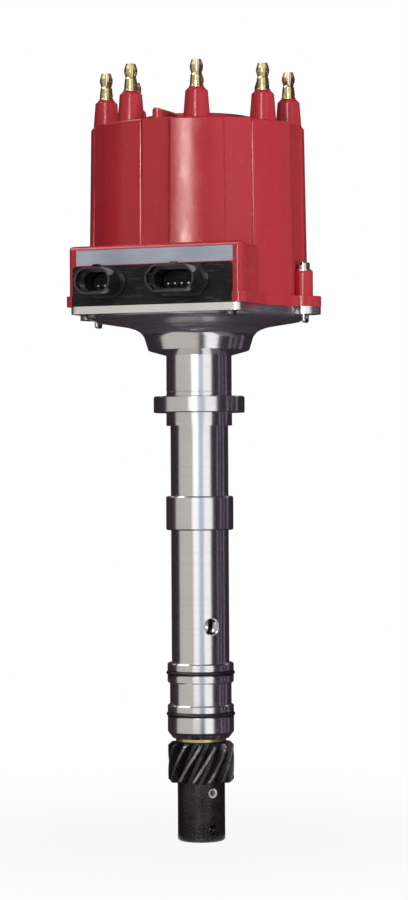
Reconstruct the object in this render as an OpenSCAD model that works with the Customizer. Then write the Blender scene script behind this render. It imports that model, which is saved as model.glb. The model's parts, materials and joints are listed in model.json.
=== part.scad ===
// Eight-cylinder ignition distributor: billet housing, ball-bearing shaft with helical drive gear,
// magnetic pickup, module with two sockets, and a tall cap with male tower terminals.
// Origin: shaft axis at the underside of the clamp collar. +Z runs up the shaft, the sockets face -Y.

/* [Shaft and drive gear] */
// Diameter of the main shaft
shaft_d = 12.7; // [11:0.1:14]
// Number of teeth on the drive gear
gear_teeth = 13; // [11:1:15]
// Outside diameter of the drive gear
gear_od = 32.2; // [30:0.1:36]
// Radial depth of a gear tooth
tooth_depth = 3.9; // [2.5:0.1:4.5]
// Length of the toothed part
gear_face = 19.3; // [14:0.1:26]
// Helix angle at the tooth tips, right-hand
gear_helix = 33; // [0:1:40]
// Bevel at both ends of the teeth
gear_bevel = 1.3; // [0.4:0.1:2]
// Diameter of the gear's hub
gear_hub_d = 23.1; // [20:0.1:26]
// Length of the gear's hub below the teeth
gear_hub_h = 28.5; // [24:0.1:40]
// Diameter of the roll pin through gear and shaft
roll_pin_d = 4.76; // [3:0.01:5.5]
// Depth of the roll pin below the teeth
roll_pin_drop = 4.7; // [3.6:0.1:8]
// Depth of the spare pin hole below the teeth
spare_hole_drop = 22.3; // [18:0.1:23]
// Width of the slot that drives the oil pump
drive_slot_w = 6.4; // [4.6:0.1:7.5]
// Depth of the slot that drives the oil pump
drive_slot_h = 8; // [5:0.1:10]
// Thickness of the bronze thrust washer
thrust_washer_t = 1.3; // [0.8:0.1:2.5]
// Thickness of the steel shim under it
shim_t = 0.8; // [0.4:0.1:1.5]

/* [Housing below the collar] */
// Diameter of the clamp collar
collar_d = 44.4; // [40:0.1:50]
// Thickness of the clamp collar
collar_h = 8; // [5:0.1:12]
// Diameter of the pilot right under the collar
pilot_d = 32.1; // [30:0.1:34]
// Length of that pilot
pilot_h = 6.3; // [3:0.1:10]
// Diameter of the slim tube
tube_d = 28.16; // [26:0.1:29.5]
// Length of the tube from the collar to its lower end
tube_len = 158.3; // [152:0.1:175]
// Diameter of the guide ring on the tube
ring_d = 32.84; // [30:0.1:35]
// Depth of the guide ring below the collar
ring_drop = 40.6; // [20:0.1:60]
// Length of the guide ring
ring_h = 16.5; // [8:0.1:22]
// Diameter of the two lands that carry the seals
land_d = 32.36; // [30:0.1:34]
// Height of the upper land's shoulder above the tube's lower end
upper_land_rise = 36.6; // [32:0.1:44]
// Length of the upper land
upper_land_h = 9.7; // [7:0.1:12]
// Diameter of the oil groove between the lands
oil_groove_d = 30.06; // [28:0.1:31]
// Height of the lower land's shoulder above the tube's lower end
lower_land_rise = 16.4; // [14:0.1:20]
// Length of the lower land
lower_land_h = 13.2; // [9:0.1:14]
// Diameter of the tube's lower face
nose_d = 27.4; // [24:0.1:30]
// Section of the rubber rings
seal_section = 2.0; // [1.5:0.1:2.5]
// How far the rubber rings stand out of their lands
seal_proud = 0.58; // [0.2:0.02:0.9]
// Diameter of the oil hole through the tube's wall
oil_hole_d = 7; // [4:0.1:9]
// Depth of the oil hole below the collar
oil_hole_drop = 103.8; // [70:0.1:112]
// Direction of the oil hole, from the front towards +X
oil_hole_azimuth = 46; // [0:1:90]

/* [Housing above the collar] */
// Diameter of the neck
neck_d = 31.9; // [30:0.1:34]
// Height of the neck above the collar
neck_h = 19.8; // [14:0.1:26]
// Radius of the bearing cup's lower corner
cup_r = 24.4; // [23:0.1:26]
// Height of the cup from the neck to the deck's underside
cup_h = 18.6; // [17:0.1:24]
// Radius of the hollow sweep between cup and rim
sweep_r = 10.5; // [8:0.1:12]
// Radius of the round rim under the deck
rim_r = 51.6; // [51:0.1:52.5]
// Thickness of the deck plate
deck_t = 3.6; // [3:0.1:6]
// Radius of the pickup bowl in the deck
bowl_r = 42.5; // [41:0.1:43.5]
// Depth of the pickup bowl below the deck's top
bowl_h = 3.5; // [2.5:0.1:4.5]

/* [Deck outline] */
// Half width of the square front of the deck
front_half_w = 44.3; // [43.8:0.1:45]
// Distance from the axis to the deck's front face
front_reach = 54; // [53.5:0.1:57]
// Radius of the deck's front corners
front_corner_r = 4; // [2:0.1:6]
// Radius of the deck behind its front
deck_r = 52.9; // [52.6:0.1:54]
// Radius of the fillets in the deck's outline
outline_fillet_r = 6; // [4:0.1:8]
// Distance from the axis to each cap latch
latch_reach = 54.8; // [54:0.1:57]
// Radius of the ears round the latches
ear_r = 8.2; // [7:0.1:9]
// Width of the slot in each deck ear
latch_slot_w = 3.2; // [2.9:0.1:4]

/* [Upper bearing] */
// Outside diameter of the ball bearing
bearing_od = 28.58; // [28.2:0.01:30]
// Width of the ball bearing
bearing_w = 7.9; // [7.2:0.1:9]
// Diameter of a ball
ball_d = 4.76; // [4.2:0.01:5]
// Number of balls
balls = 9; // [7:1:10]
// Thickness of the retaining ring
snap_ring_t = 1.1; // [0.8:0.1:1.5]
// Outside diameter of the long bushing at the tube's lower end
bushing_od = 16; // [15.6:0.1:18]
// Length of that bushing
bushing_len = 40; // [25:0.1:50]

/* [Magnetic pickup] */
// Number of cylinders: towers, reluctor teeth and pole teeth
cylinders = 8; // [8:1:8]
// Radius of the reluctor's teeth
reluctor_r = 20.9; // [19:0.1:21.4]
// Air gap between reluctor and pole teeth
air_gap = 0.5; // [0.3:0.05:1]
// Outside radius of the pickup stack
pickup_r = 38.5; // [37:0.1:40]
// Radius of the circle of pickup screws
pickup_screw_r = 34.6; // [34.2:0.1:35.2]
// Height of the pickup's magnet
magnet_h = 5.5; // [4.5:0.1:8]
// Thickness of the pickup's steel plates
pole_t = 1.6; // [1.2:0.1:2]

/* [Rotor] */
// Height from the deck's top to the rotor's seat
rotor_seat_h = 29.5; // [26:0.1:34]
// Radius of the rotor's base disc
rotor_r = 28.5; // [27:0.1:32]
// Height of the rotor from its seat to the blade
rotor_h = 22; // [19:0.1:26]
// Width of the brass blade
blade_w = 9; // [6:0.1:12]
// Gap from the blade's tip to an electrode
spark_gap = 0.9; // [0.6:0.05:1.5]

/* [Cap] */
// Height of the cap from the deck to the roof's rim
cap_h = 88; // [84:0.1:94]
// Outside radius of the cap at its foot
cap_foot_r = 53.3; // [52.6:0.1:53.6]
// Outside radius of the cap at its roof
cap_top_r = 51.9; // [51.4:0.1:52.4]
// Thickness of the cap's wall and roof
cap_wall = 3.4; // [2.8:0.1:3.6]
// Thickness of the flange round the cap's foot
flange_t = 5; // [4:0.1:7]
// How far the flange stands past the deck
flange_step = 1; // [0.4:0.1:1.5]
// Half width of a flat panel between two columns, at the cap's foot
panel_foot_w = 6.5; // [5:0.1:7.5]
// Half width of a flat panel at the roof
panel_top_w = 7.6; // [6:0.1:8.5]
// Depth of a flat panel below the round columns, at its edges
panel_step = 0.9; // [0.3:0.05:1.1]
// Radius of the raised disc on the roof
roof_disc_r = 29; // [24:0.1:32]
// Height of the raised disc on the roof
roof_disc_h = 4.8; // [2:0.1:7]
// Width of the rib from the raised disc to the front
roof_rib_w = 5; // [3:0.1:8]
// Height of the module box above the deck
box_h = 28.7; // [26:0.1:34]
// Rounding of the module box's upper edges
box_round = 2.6; // [1:0.1:2.7]
// Depth of the proud rim at the front of the module box
box_rim = 6; // [3:0.1:9]

/* [Towers] */
// Distance from the roof's rim to the circle that the towers stand on
tower_inset = 7.5; // [7:0.1:7.9]
// Radius of a tower at its foot
tower_foot_r = 6.4; // [6:0.1:6.6]
// Radius of a tower under its bevel
tower_top_r = 5.4; // [5:0.1:6]
// Height of a tower above the roof's rim
tower_h = 14.5; // [12:0.1:20]
// Radius of the brass terminal's body
terminal_r = 3.2; // [3:0.05:3.4]
// Height of the brass terminal above its tower
terminal_h = 13.1; // [11:0.1:16]
// Radius of an electrode
electrode_r = 2.4; // [2:0.1:2.6]
// How far the electrodes reach below the rotor blade
electrode_reach = 4; // [3:0.1:8]

/* [Module and sockets] */
// Half width of the module's front panel
panel_half_w = 40.9; // [40:0.1:41.2]
// Shift of the module's front panel towards +X
panel_shift = -1; // [-1.2:0.1:1.2]
// Height of the module's front panel
panel_h = 18.5; // [17:0.1:20]
// How far the panel stands out of the box
panel_proud = 0.4; // [0:0.1:0.9]
// Length of the shrouds from the panel to their mouths
shroud_len = 16.1; // [10:0.1:20]
// Half height of the shrouds
shroud_half_h = 6.4; // [6:0.1:6.8]
// Wall of the shrouds round their mouths
mouth_wall = 0.9; // [0.8:0.1:1.2]
// Wall of the shrouds behind the step in their mouths
shroud_wall = 1.9; // [1.6:0.1:2.1]
// Depth of the step in the shrouds' mouths
mouth_step = 6.8; // [4:0.1:9]
// Height of the shrouds' centre above the deck
shroud_rise = 11; // [9.4:0.1:11.4]
// Centre of the two-way socket, towards +X
two_way_x = -24.4; // [-26:0.1:-23]
// Half width of the two-way socket
two_way_half_w = 9.2; // [8.6:0.1:9.8]
// Centre of the four-way socket, towards +X
four_way_x = 15; // [13:0.1:17]
// Half width of the four-way socket
four_way_half_w = 12.4; // [12:0.1:13]
// Distance between two contact pins
contact_pitch = 3.46; // [3:0.02:3.8]
// Diameter of a contact pin
contact_d = 1.5; // [1:0.1:1.8]
// Depth of the pins' tips inside the sockets' mouths
contact_setback = 10.9; // [8:0.1:13]

/* [Latches] */
// Radius of the bosses that the latches stand in
latch_boss_r = 4.5; // [4.2:0.1:4.8]
// Height of those bosses above the flange
latch_boss_h = 12.2; // [10:0.1:16]
// Radius of the latch's screw head
latch_head_r = 3.05; // [2.8:0.05:3.1]
// Height of the screw head above its washer
latch_head_h = 3.4; // [3:0.1:5]
// Radius of the latch's rod
latch_rod_r = 1.2; // [1:0.05:1.3]
// Reach of the hook from the rod's axis
latch_hook_reach = 4.7; // [4:0.1:5.5]

/* [Fits] */
// Radial clearance of pressed and fixed round fits
fit_gap = 0.02; // [0.01:0.01:0.05]
// Radial clearance of running fits
running_gap = 0.04; // [0.02:0.01:0.08]
// Clearance between parts that pass each other
pass_gap = 0.3; // [0.2:0.05:0.4]
// End play of the shaft
end_play = 0.1; // [0.05:0.05:0.4]

/* [Hidden] */
$fn = 96;
// Over-length of every cutting shape
over = 1;

// Levels up the shaft
neck_top = collar_h + neck_h;
deck_bottom = neck_top + cup_h;
deck_top = deck_bottom + deck_t;
bowl_floor = deck_top - bowl_h;
bearing_lead_in = 3.3;
bearing_top = bowl_floor - bearing_lead_in - snap_ring_t;
bearing_bottom = bearing_top - bearing_w;
bearing_mid = (bearing_top + bearing_bottom) / 2;
shoulder_top = deck_top + 0.4;
rotor_seat = deck_top + rotor_seat_h;
blade_bottom = rotor_seat + rotor_h;
blade_t = 1.4;
contact_t = 1.5;
contact_top = blade_bottom + blade_t + contact_t;
flange_top = deck_top + flange_t;
roof_top = deck_top + cap_h;
roof_under = roof_top - cap_wall;
tower_top = roof_top + tower_h;
boss_top = flange_top + latch_boss_h;

// Levels below the collar
upper_land_drop = tube_len - upper_land_rise;
lower_land_drop = tube_len - lower_land_rise;
bushing_top = bushing_len - tube_len;
gear_top = -(tube_len + end_play + thrust_washer_t + shim_t);
gear_bottom = gear_top - gear_face;
hub_bottom = gear_bottom - gear_hub_h;
shaft_bottom = hub_bottom + 0.5;
pin_z = gear_bottom - roll_pin_drop;
pin_azimuth = 52.7;

// Radii
shaft_r = shaft_d / 2;
bore_r = shaft_r + running_gap;
race_r = bearing_od / 2;
race_wall = 2.1;
ball_r = ball_d / 2;
ball_circle_r = (race_r + shaft_r + fit_gap) / 2;
land_r = land_d / 2;
seal_r = seal_section / 2;
seal_centre_r = land_r + seal_proud - seal_r;
seal_groove_r = seal_centre_r - seal_r - 0.1;
seal_groove_w = seal_section + 0.6;
tower_circle_r = cap_top_r - tower_inset;
blade_tip_r = tower_circle_r - electrode_r - spark_gap;
draft = atan((cap_foot_r - cap_top_r) / cap_h);
panel_foot_reach = sqrt(pow(cap_foot_r, 2) - pow(panel_foot_w, 2)) - panel_step;
panel_top_reach = sqrt(pow(cap_top_r, 2) - pow(panel_top_w, 2)) - panel_step;
cavity_foot_r = cap_foot_r - cap_wall;
cavity_top_r = cap_top_r - cap_wall;
brush_r = 3;
brush_len = 12;
brush_boss_r = 7.5;
brush_boss_bottom = contact_top + 3.5;
brush_top = contact_top + brush_len;
centre_insert_bottom = brush_top + 13.6;
column_r = tower_foot_r - 0.4;
column_bottom = contact_top + 5.6;

// Module box and module
box_half_w = front_half_w + 0.2;
box_inset = 0.8;
box_wall = 2.4;
box_front_wall = 2.6;
box_back = 20;
box_cavity_back = box_back + 4;
box_top = deck_top + box_h;
panel_bottom = deck_top + 0.2;
panel_top = panel_bottom + panel_h;
panel_front = front_reach + panel_proud;
panel_corner_r = 1.6;
window_gap = 0.2;
case_front = front_reach - box_front_wall - 0.2;
case_half_w = box_half_w - box_inset - box_wall - pass_gap;
case_h = 16.5;
board_t = 1.6;
board_half_w = 31.8;
board_back = case_front - board_t - 0.7;
case_back_r = board_back - 2.6;
case_wing_back = 30;
socket_floor = board_back + board_t + 0.1 + 1.8;
mouth = panel_front + shroud_len;
shroud_z = deck_top + shroud_rise;
contact_z = shroud_z - 1.9;
contact_r = contact_d / 2;
label_bottom = panel_top + window_gap + 0.3;
label_h = 7.4;
label_left = -40.2;
label_right = 40.3;
label_t = 0.35;
module_screw_x = 35.5;
module_screw_y = -46;
module_screw_r = 1.5;
module_screw_bite = 9;

// Pickup
magnet_bottom = bowl_floor + pole_t;
pole_bottom = magnet_bottom + magnet_h;
pole_top = pole_bottom + pole_t;
pole_inner_r = reluctor_r + air_gap;
coil_inner_r = pole_inner_r + 2.8;
magnet_inner_r = pickup_screw_r - 3.4;
coil_outer_r = magnet_inner_r - 0.6;
coil_post_r = (coil_inner_r + coil_outer_r) / 2 + 0.4;
lead_azimuth = 0;
lead_bend_r = 5;
lead_r = 0.9;
post_top = pole_top + 1.4;
pickup_screw_shank_r = 1.5;
reluctor_hub_r = 9.5;
reluctor_top = pole_top + 4.8;
mount_plate_t = 3.6;
mount_hub_r = 11;
rotor_base_t = 5;
rotor_screw_reach = 22;
rotor_screw_shank_r = 1.95;
first_tower = 180 / cylinders;
peg_reach = 15;
peg_r = 2.5;

// Latches
latch_bore_r = latch_head_r + pass_gap;
washer_t = 0.7;
washer_r = latch_boss_r - 0.6;
latch_head_top = boss_top + washer_t + latch_head_h;
latch_head_bottom = boss_top - pass_gap;
spring_seat_t = 0.8;
spring_floor = boss_top - 10.2;
spring_top = latch_head_bottom - spring_seat_t;
hook_top = deck_bottom - pass_gap;
hook_rise = 2 * latch_rod_r;
hook_z = hook_top - hook_rise;
hook_travel = 3;

// Points along an arc, from angle a0 to a1 in n steps
function arc(cx, cy, r, a0, a1, n) =
    [for (i = [0:n]) let (a = a0 + (a1 - a0) * i / n) [cx + r * cos(a), cy + r * sin(a)]];

// Turns to an azimuth, counted from the front towards +X
module at_azimuth(a) {
  rotate([0, 0, a]) children();
}

// Revolves a profile of [radius, height] points
module turned(points) {
  rotate_extrude() polygon(points);
}

// A flat ring from z upwards
module ring(outer, inner, z, h) {
  translate([0, 0, z])
    difference() {
      cylinder(h = h, r = outer);
      translate([0, 0, -over]) cylinder(h = h + 2 * over, r = inner);
    }
}

// A hole along the shaft from z upwards
module bore(r, z, h) {
  translate([0, 0, z]) cylinder(h = h, r = r);
}

// A shape drawn in X and Z, from y = -front to y = -back
module facing(front, back) {
  translate([0, -back, 0]) rotate([90, 0, 0]) linear_extrude(front - back) children();
}

// A wire wound as a compression spring, from z = 0 to h
module coil_spring(mean_r, wire_r, h, turns) {
  steps = 16 * turns;
  sides = 8;
  rise = (h - 2 * wire_r) / steps;
  points = [for (i = [0:steps], j = [0:sides - 1])
      let (a = 22.5 * i, b = 360 * j / sides, r = mean_r + wire_r * cos(b))
      [r * cos(a), r * sin(a), wire_r + rise * i + wire_r * sin(b)]];
  skin = [for (i = [0:steps - 1], j = [0:sides - 1])
      let (k = (j + 1) % sides)
      [i * sides + j, (i + 1) * sides + j, (i + 1) * sides + k, i * sides + k]];
  start = [for (j = [0:sides - 1]) j];
  finish = [for (j = [0:sides - 1]) (steps + 1) * sides - 1 - j];
  polyhedron(points = points, faces = concat([start], skin, [finish]), convexity = 10);
}

// Deck and flange outline: a disc with a square front and an ear at each latch
module outline(half_w, front, corner, disc_r, ear) {
  f = outline_fillet_r;
  // Keeps each fillet's ends just inside the shapes that it joins
  bite = 0.05;
  side_x = half_w + f;
  side_y = -sqrt(pow(disc_r + f - bite, 2) - pow(side_x, 2));
  ear_d1 = disc_r + f - bite;
  ear_d2 = ear + f - bite;
  ear_x = (pow(ear_d1, 2) - pow(ear_d2, 2) + pow(latch_reach, 2)) / (2 * latch_reach);
  ear_y = sqrt(pow(ear_d1, 2) - pow(ear_x, 2));
  circle(disc_r);
  for (side = [0, 1]) mirror([side, 0]) {
    polygon(concat([[0, -front]], arc(half_w - corner, corner - front, corner, -90, 0, 8),
        arc(side_x, side_y, f, 180, 180 + atan(side_y / side_x), 6), [[0, 0]]));
    translate([latch_reach, 0]) circle(ear);
    for (half = [0, 1]) mirror([0, half])
      polygon(concat([[0, 0]], arc(ear_x, ear_y, f, 180 + atan(ear_y / ear_x),
          270 - atan((ear_x - latch_reach) / ear_y), 8), [[latch_reach, 0]]));
  }
}

// Outside of the housing from the lower end to the deck's underside
function housing_profile() =
  let (edge = 0.6, tube_r = tube_d / 2, ring_r = ring_d / 2, groove_r = oil_groove_d / 2,
      upper_end = upper_land_drop + upper_land_h, lower_end = lower_land_drop + lower_land_h,
      sweep_x = cup_r + sweep_r + 0.2, sweep_z = neck_top + 1.5)
  concat(
    [[0, -tube_len], [nose_d / 2, -tube_len], [land_r, -lower_end], [land_r, -lower_land_drop - edge],
      [land_r - edge, -lower_land_drop], [groove_r, -lower_land_drop], [groove_r, -upper_end],
      [land_r - edge, -upper_end], [land_r, -upper_end + edge], [land_r, -upper_land_drop - edge],
      [land_r - edge, -upper_land_drop], [tube_r, -upper_land_drop], [tube_r, -ring_drop - ring_h],
      [ring_r - edge, -ring_drop - ring_h], [ring_r, edge - ring_drop - ring_h],
      [ring_r, -ring_drop - edge], [ring_r - edge, -ring_drop], [tube_r, -ring_drop],
      [tube_r, -pilot_h], [pilot_d / 2, -pilot_h], [pilot_d / 2, 0],
      [collar_d / 2 - 0.4, 0], [collar_d / 2, 0.4], [collar_d / 2, collar_h - edge],
      [collar_d / 2 - edge, collar_h], [neck_d / 2, collar_h], [neck_d / 2, collar_h + 1.8],
      [neck_d / 2 - 0.3, collar_h + 2.1], [neck_d / 2, collar_h + 2.4], [neck_d / 2, neck_top],
      [cup_r - 0.8, neck_top + 2.1]],
    arc(sweep_x, sweep_z, sweep_r, 174, 105.6, 12),
    [[rim_r - 2, deck_bottom - 2.2], [rim_r, deck_bottom - 0.6], [rim_r, deck_bottom + over],
      [0, deck_bottom + over]]);

// A round groove for a rubber ring
module seal_groove(z) {
  ring(land_r + over, seal_groove_r, z - seal_groove_w / 2, seal_groove_w);
}

upper_seal_z = -(upper_land_drop + upper_land_h / 2);
lower_seal_z = -(lower_land_drop + 0.36 * lower_land_h);

module housing() {
  color("lightgrey")
  difference() {
    union() {
      turned(housing_profile());
      translate([0, 0, deck_bottom])
        linear_extrude(deck_t) outline(front_half_w, front_reach, front_corner_r, deck_r, ear_r);
    }
    seal_groove(upper_seal_z);
    seal_groove(lower_seal_z);
    bore(bushing_od / 2 + fit_gap, -tube_len - over, bushing_len + over);
    bore(bushing_od / 2 - 0.4, bushing_top - over, bearing_bottom - bushing_top + 2 * over);
    bore(race_r + fit_gap, bearing_bottom, bearing_w + snap_ring_t + over);
    bore(race_r + 1, bearing_top, snap_ring_t + 0.05);
    bore(race_r + 0.3, bearing_top + snap_ring_t + 0.3, bearing_lead_in + over);
    bore(bowl_r, bowl_floor, bowl_h + over);
    pickup_screw_places() bore(pickup_screw_shank_r + fit_gap, bowl_floor - 3.2, 3.2 + over);
    module_screw_places() bore(module_screw_r + pass_gap, deck_bottom - over, deck_t + 2 * over);
    oil_hole();
    for (side = [-1, 1]) translate([side * latch_reach, 0, deck_bottom - over]) {
      cylinder(h = deck_t + 2 * over, r = latch_slot_w / 2);
      translate([-latch_slot_w / 2, -2 * ear_r, 0])
        cube([latch_slot_w, 2 * ear_r, deck_t + 2 * over]);
      hook_room();
    }
  }
}

// The room under the deck that a latch's hook needs, also when it is pressed down
module hook_room() {
  r = latch_rod_r + pass_gap;
  depth = deck_bottom - hook_z + r + hook_travel;
  translate([0, 0, -depth]) linear_extrude(depth + over) {
    circle(r, $fn = 48);
    translate([-r, 0]) square([2 * r, latch_hook_reach - latch_rod_r]);
    translate([0, latch_hook_reach - latch_rod_r]) circle(r, $fn = 48);
  }
}

// The oil hole and its bevel
module oil_hole() {
  tube_r = tube_d / 2;
  r = oil_hole_d / 2;
  at_azimuth(oil_hole_azimuth) translate([0, 0, -oil_hole_drop]) rotate([90, 0, 0]) {
    cylinder(h = tube_r + over, r = r);
    translate([0, 0, tube_r - 1.1]) cylinder(h = 1.6, r1 = r, r2 = r + 1.2);
  }
}

module lower_bushing() {
  color("darkgoldenrod") ring(bushing_od / 2, bore_r, -tube_len, bushing_len);
}

// A rubber ring in its groove
module seal(z) {
  color("black")
  translate([0, 0, z]) rotate_extrude() translate([seal_centre_r, 0]) circle(seal_r, $fn = 32);
}

module upper_seal() {
  seal(upper_seal_z);
}

module lower_seal() {
  seal(lower_seal_z);
}

// The round track of the balls, wider than them by a gap
module ball_track() {
  translate([0, 0, bearing_mid])
    rotate_extrude() translate([ball_circle_r, 0]) circle(ball_r + running_gap, $fn = 48);
}

module bearing_outer_race() {
  color("silver")
  difference() {
    ring(race_r, race_r - race_wall, bearing_bottom, bearing_w);
    ball_track();
  }
}

module bearing_inner_race() {
  color("silver")
  difference() {
    ring(shaft_r + fit_gap + race_wall, shaft_r + fit_gap, bearing_bottom, bearing_w);
    ball_track();
  }
}

module ball_places() {
  for (i = [0:balls - 1]) rotate([0, 0, 360 * i / balls])
    translate([0, -ball_circle_r, bearing_mid]) children();
}

module bearing_cage() {
  cage_h = ball_d + 1.4;
  color("peru")
  difference() {
    ring(ball_circle_r + 0.75, ball_circle_r - 0.75, bearing_mid - cage_h / 2, cage_h);
    ball_places() rotate([90, 0, 0]) translate([0, 0, -2]) cylinder(h = 4, r = ball_r + running_gap);
  }
}

module bearing_balls() {
  color("gainsboro") ball_places() sphere(ball_r, $fn = 48);
}

module snap_ring() {
  color("dimgrey")
  difference() {
    union() {
      difference() {
        ring(race_r + 0.9, race_r - 1.6, bearing_top, snap_ring_t);
        translate([-4, -race_r - 2, bearing_top - over]) cube([8, race_r, snap_ring_t + 2 * over]);
      }
      for (side = [-1, 1]) translate([side * 5.4, 2.6 - race_r, bearing_top])
        cylinder(h = snap_ring_t, r = 1.9, $fn = 32);
    }
    for (side = [-1, 1]) translate([side * 5.4, 2.8 - race_r, bearing_top - over])
      cylinder(h = snap_ring_t + 2 * over, r = 0.8, $fn = 32);
  }
}

// A hole through the shaft's axis along the roll pin
module pin_hole(z, r, length) {
  at_azimuth(pin_azimuth) translate([0, length / 2, z]) rotate([90, 0, 0]) cylinder(h = length, r = r);
}

module main_shaft() {
  waist_r = shaft_r - 0.5;
  color("silver")
  difference() {
    turned([[0, shaft_bottom], [shaft_r - 0.8, shaft_bottom], [shaft_r, shaft_bottom + 0.8],
        [shaft_r, bushing_top + 4], [waist_r, bushing_top + 5], [waist_r, bearing_bottom - 8],
        [shaft_r, bearing_bottom - 7], [shaft_r, bearing_top], [shaft_r + 2.05, bearing_top],
        [shaft_r + 2.05, shoulder_top], [shaft_r, shoulder_top], [shaft_r, rotor_seat - 1.5],
        [shaft_r - 1, rotor_seat - 0.5], [0, rotor_seat - 0.5]]);
    pin_hole(pin_z, roll_pin_d / 2 + fit_gap, shaft_d + 2 * over);
    translate([-drive_slot_w / 2, -shaft_d, shaft_bottom - over])
      cube([drive_slot_w, 2 * shaft_d, drive_slot_h + over]);
  }
}

module thrust_washer() {
  color("darkgoldenrod")
  ring(nose_d / 2 - 1.4, bore_r, -tube_len - end_play - thrust_washer_t, thrust_washer_t);
}

module gear_shim() {
  color("silver") ring(gear_hub_d / 2 - 0.2, bore_r, gear_top, shim_t);
}

// One tooth of the gear, as points round the root circle
function gear_tooth(i, root_r, tip_r) =
  let (step = 360 / gear_teeth, a = i * step)
  [for (p = [[root_r, -0.34], [root_r + 0.35 * tooth_depth, -0.25], [tip_r - 0.25 * tooth_depth, -0.15],
          [tip_r, -0.095], [tip_r, 0.095], [tip_r - 0.25 * tooth_depth, 0.15],
          [root_r + 0.35 * tooth_depth, 0.25], [root_r, 0.34]])
      [p[0] * cos(a + p[1] * step), p[0] * sin(a + p[1] * step)]];

module drive_gear() {
  tip_r = gear_od / 2;
  root_r = tip_r - tooth_depth;
  twist = gear_face * tan(gear_helix) / tip_r * 180 / PI;
  hub_r = gear_hub_d / 2;
  outline_points = [for (i = [0:gear_teeth - 1]) each gear_tooth(i, root_r, tip_r)];
  bevel = gear_bevel;
  color("dimgrey")
  difference() {
    union() {
      intersection() {
        translate([0, 0, gear_bottom])
          linear_extrude(gear_face, twist = -twist, slices = 10) polygon(outline_points);
        turned([[0, gear_bottom], [tip_r - bevel, gear_bottom], [tip_r + 0.01, gear_bottom + bevel],
            [tip_r + 0.01, gear_top - bevel], [tip_r - bevel, gear_top], [0, gear_top]]);
      }
      turned([[0, hub_bottom], [hub_r - 0.8, hub_bottom], [hub_r, hub_bottom + 0.8],
          [hub_r, pin_z - 12], [hub_r - 0.25, pin_z - 12.25], [hub_r, pin_z - 12.5 + over],
          [hub_r, gear_bottom + over], [0, gear_bottom + over]]);
    }
    bore(shaft_r + fit_gap, hub_bottom - over, gear_top - hub_bottom + 2 * over);
    pin_hole(pin_z, roll_pin_d / 2 + fit_gap, gear_hub_d + 2 * over);
    pin_hole(gear_bottom - spare_hole_drop, roll_pin_d / 2 + fit_gap, gear_hub_d + 2 * over);
  }
}

module roll_pin() {
  length = gear_hub_d - 0.8;
  color("silver")
  difference() {
    pin_hole(pin_z, roll_pin_d / 2, length);
    pin_hole(pin_z, roll_pin_d / 2 - 0.85, length + 2 * over);
    at_azimuth(pin_azimuth) translate([-0.4, -length / 2 - over, pin_z])
      cube([0.8, length + 2 * over, roll_pin_d]);
  }
}

module pickup_screw_places() {
  for (a = [60, 180, 300]) at_azimuth(a) translate([0, -pickup_screw_r, 0]) children();
}

module pickup_base() {
  color("grey")
  difference() {
    ring(pickup_r, race_r + 3, bowl_floor, pole_t);
    pickup_screw_places() bore(pickup_screw_shank_r + pass_gap, bowl_floor - over, pole_t + 2 * over);
  }
}

module pickup_magnet() {
  color("dimgrey")
  difference() {
    ring(pickup_r, magnet_inner_r, magnet_bottom, magnet_h);
    pickup_screw_places() bore(pickup_screw_shank_r + pass_gap, magnet_bottom - over, magnet_h + 2 * over);
  }
}

// The wound bobbin, with the post that its two wires leave from
module pickup_coil() {
  top = pole_bottom - 0.2;
  color("black")
  union() {
    turned([[coil_inner_r, magnet_bottom], [coil_outer_r, magnet_bottom],
        [coil_outer_r, magnet_bottom + 0.8], [coil_outer_r - 0.9, magnet_bottom + 0.8],
        [coil_outer_r - 0.9, top - 0.8], [coil_outer_r, top - 0.8], [coil_outer_r, top],
        [coil_inner_r, top]]);
    at_azimuth(lead_azimuth) translate([-2.6, -coil_post_r - 1.6, top - 1])
      cube([5.2, 3.2, post_top - top + 1]);
  }
}

module pole_piece() {
  tooth_l = 3.4;
  color("grey")
  difference() {
    union() {
      ring(pickup_r, pole_inner_r + tooth_l, pole_bottom, pole_t);
      intersection() {
        for (i = [0:cylinders - 1]) at_azimuth(first_tower + 360 * i / cylinders)
          translate([-2.2, -pole_inner_r - tooth_l - 1, pole_bottom]) cube([4.4, tooth_l + 2, pole_t]);
        ring(pole_inner_r + tooth_l + 1, pole_inner_r, pole_bottom - over, pole_t + 2 * over);
      }
    }
    pickup_screw_places() bore(pickup_screw_shank_r + pass_gap, pole_bottom - over, pole_t + 2 * over);
    at_azimuth(lead_azimuth) translate([-2.9, -coil_post_r - 1.9, pole_bottom - over])
      cube([5.8, 3.8, pole_t + 2 * over]);
  }
}

// A round-headed screw with a cross slot, its head's underside at z = 0 and its shank below
module pan_screw(head_r, head_h, shank_r, shank_l) {
  difference() {
    union() {
      rotate_extrude($fn = 48) polygon(concat([[0, 0], [head_r, 0]],
          arc(head_r - 0.45 * head_h, 0.55 * head_h, 0.45 * head_h, 0, 90, 4), [[0, head_h]]));
      translate([0, 0, -shank_l]) cylinder(h = shank_l + 0.1, r = shank_r, $fn = 48);
    }
    for (turn = [0, 90]) rotate([0, 0, turn])
      translate([-0.55 * head_r, -0.4, 0.45 * head_h]) cube([1.1 * head_r, 0.8, head_h]);
  }
}

module pickup_screws() {
  color("silver") pickup_screw_places() translate([0, 0, pole_top])
    pan_screw(3, 2, pickup_screw_shank_r, pole_top - bowl_floor + 3);
}

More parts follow.
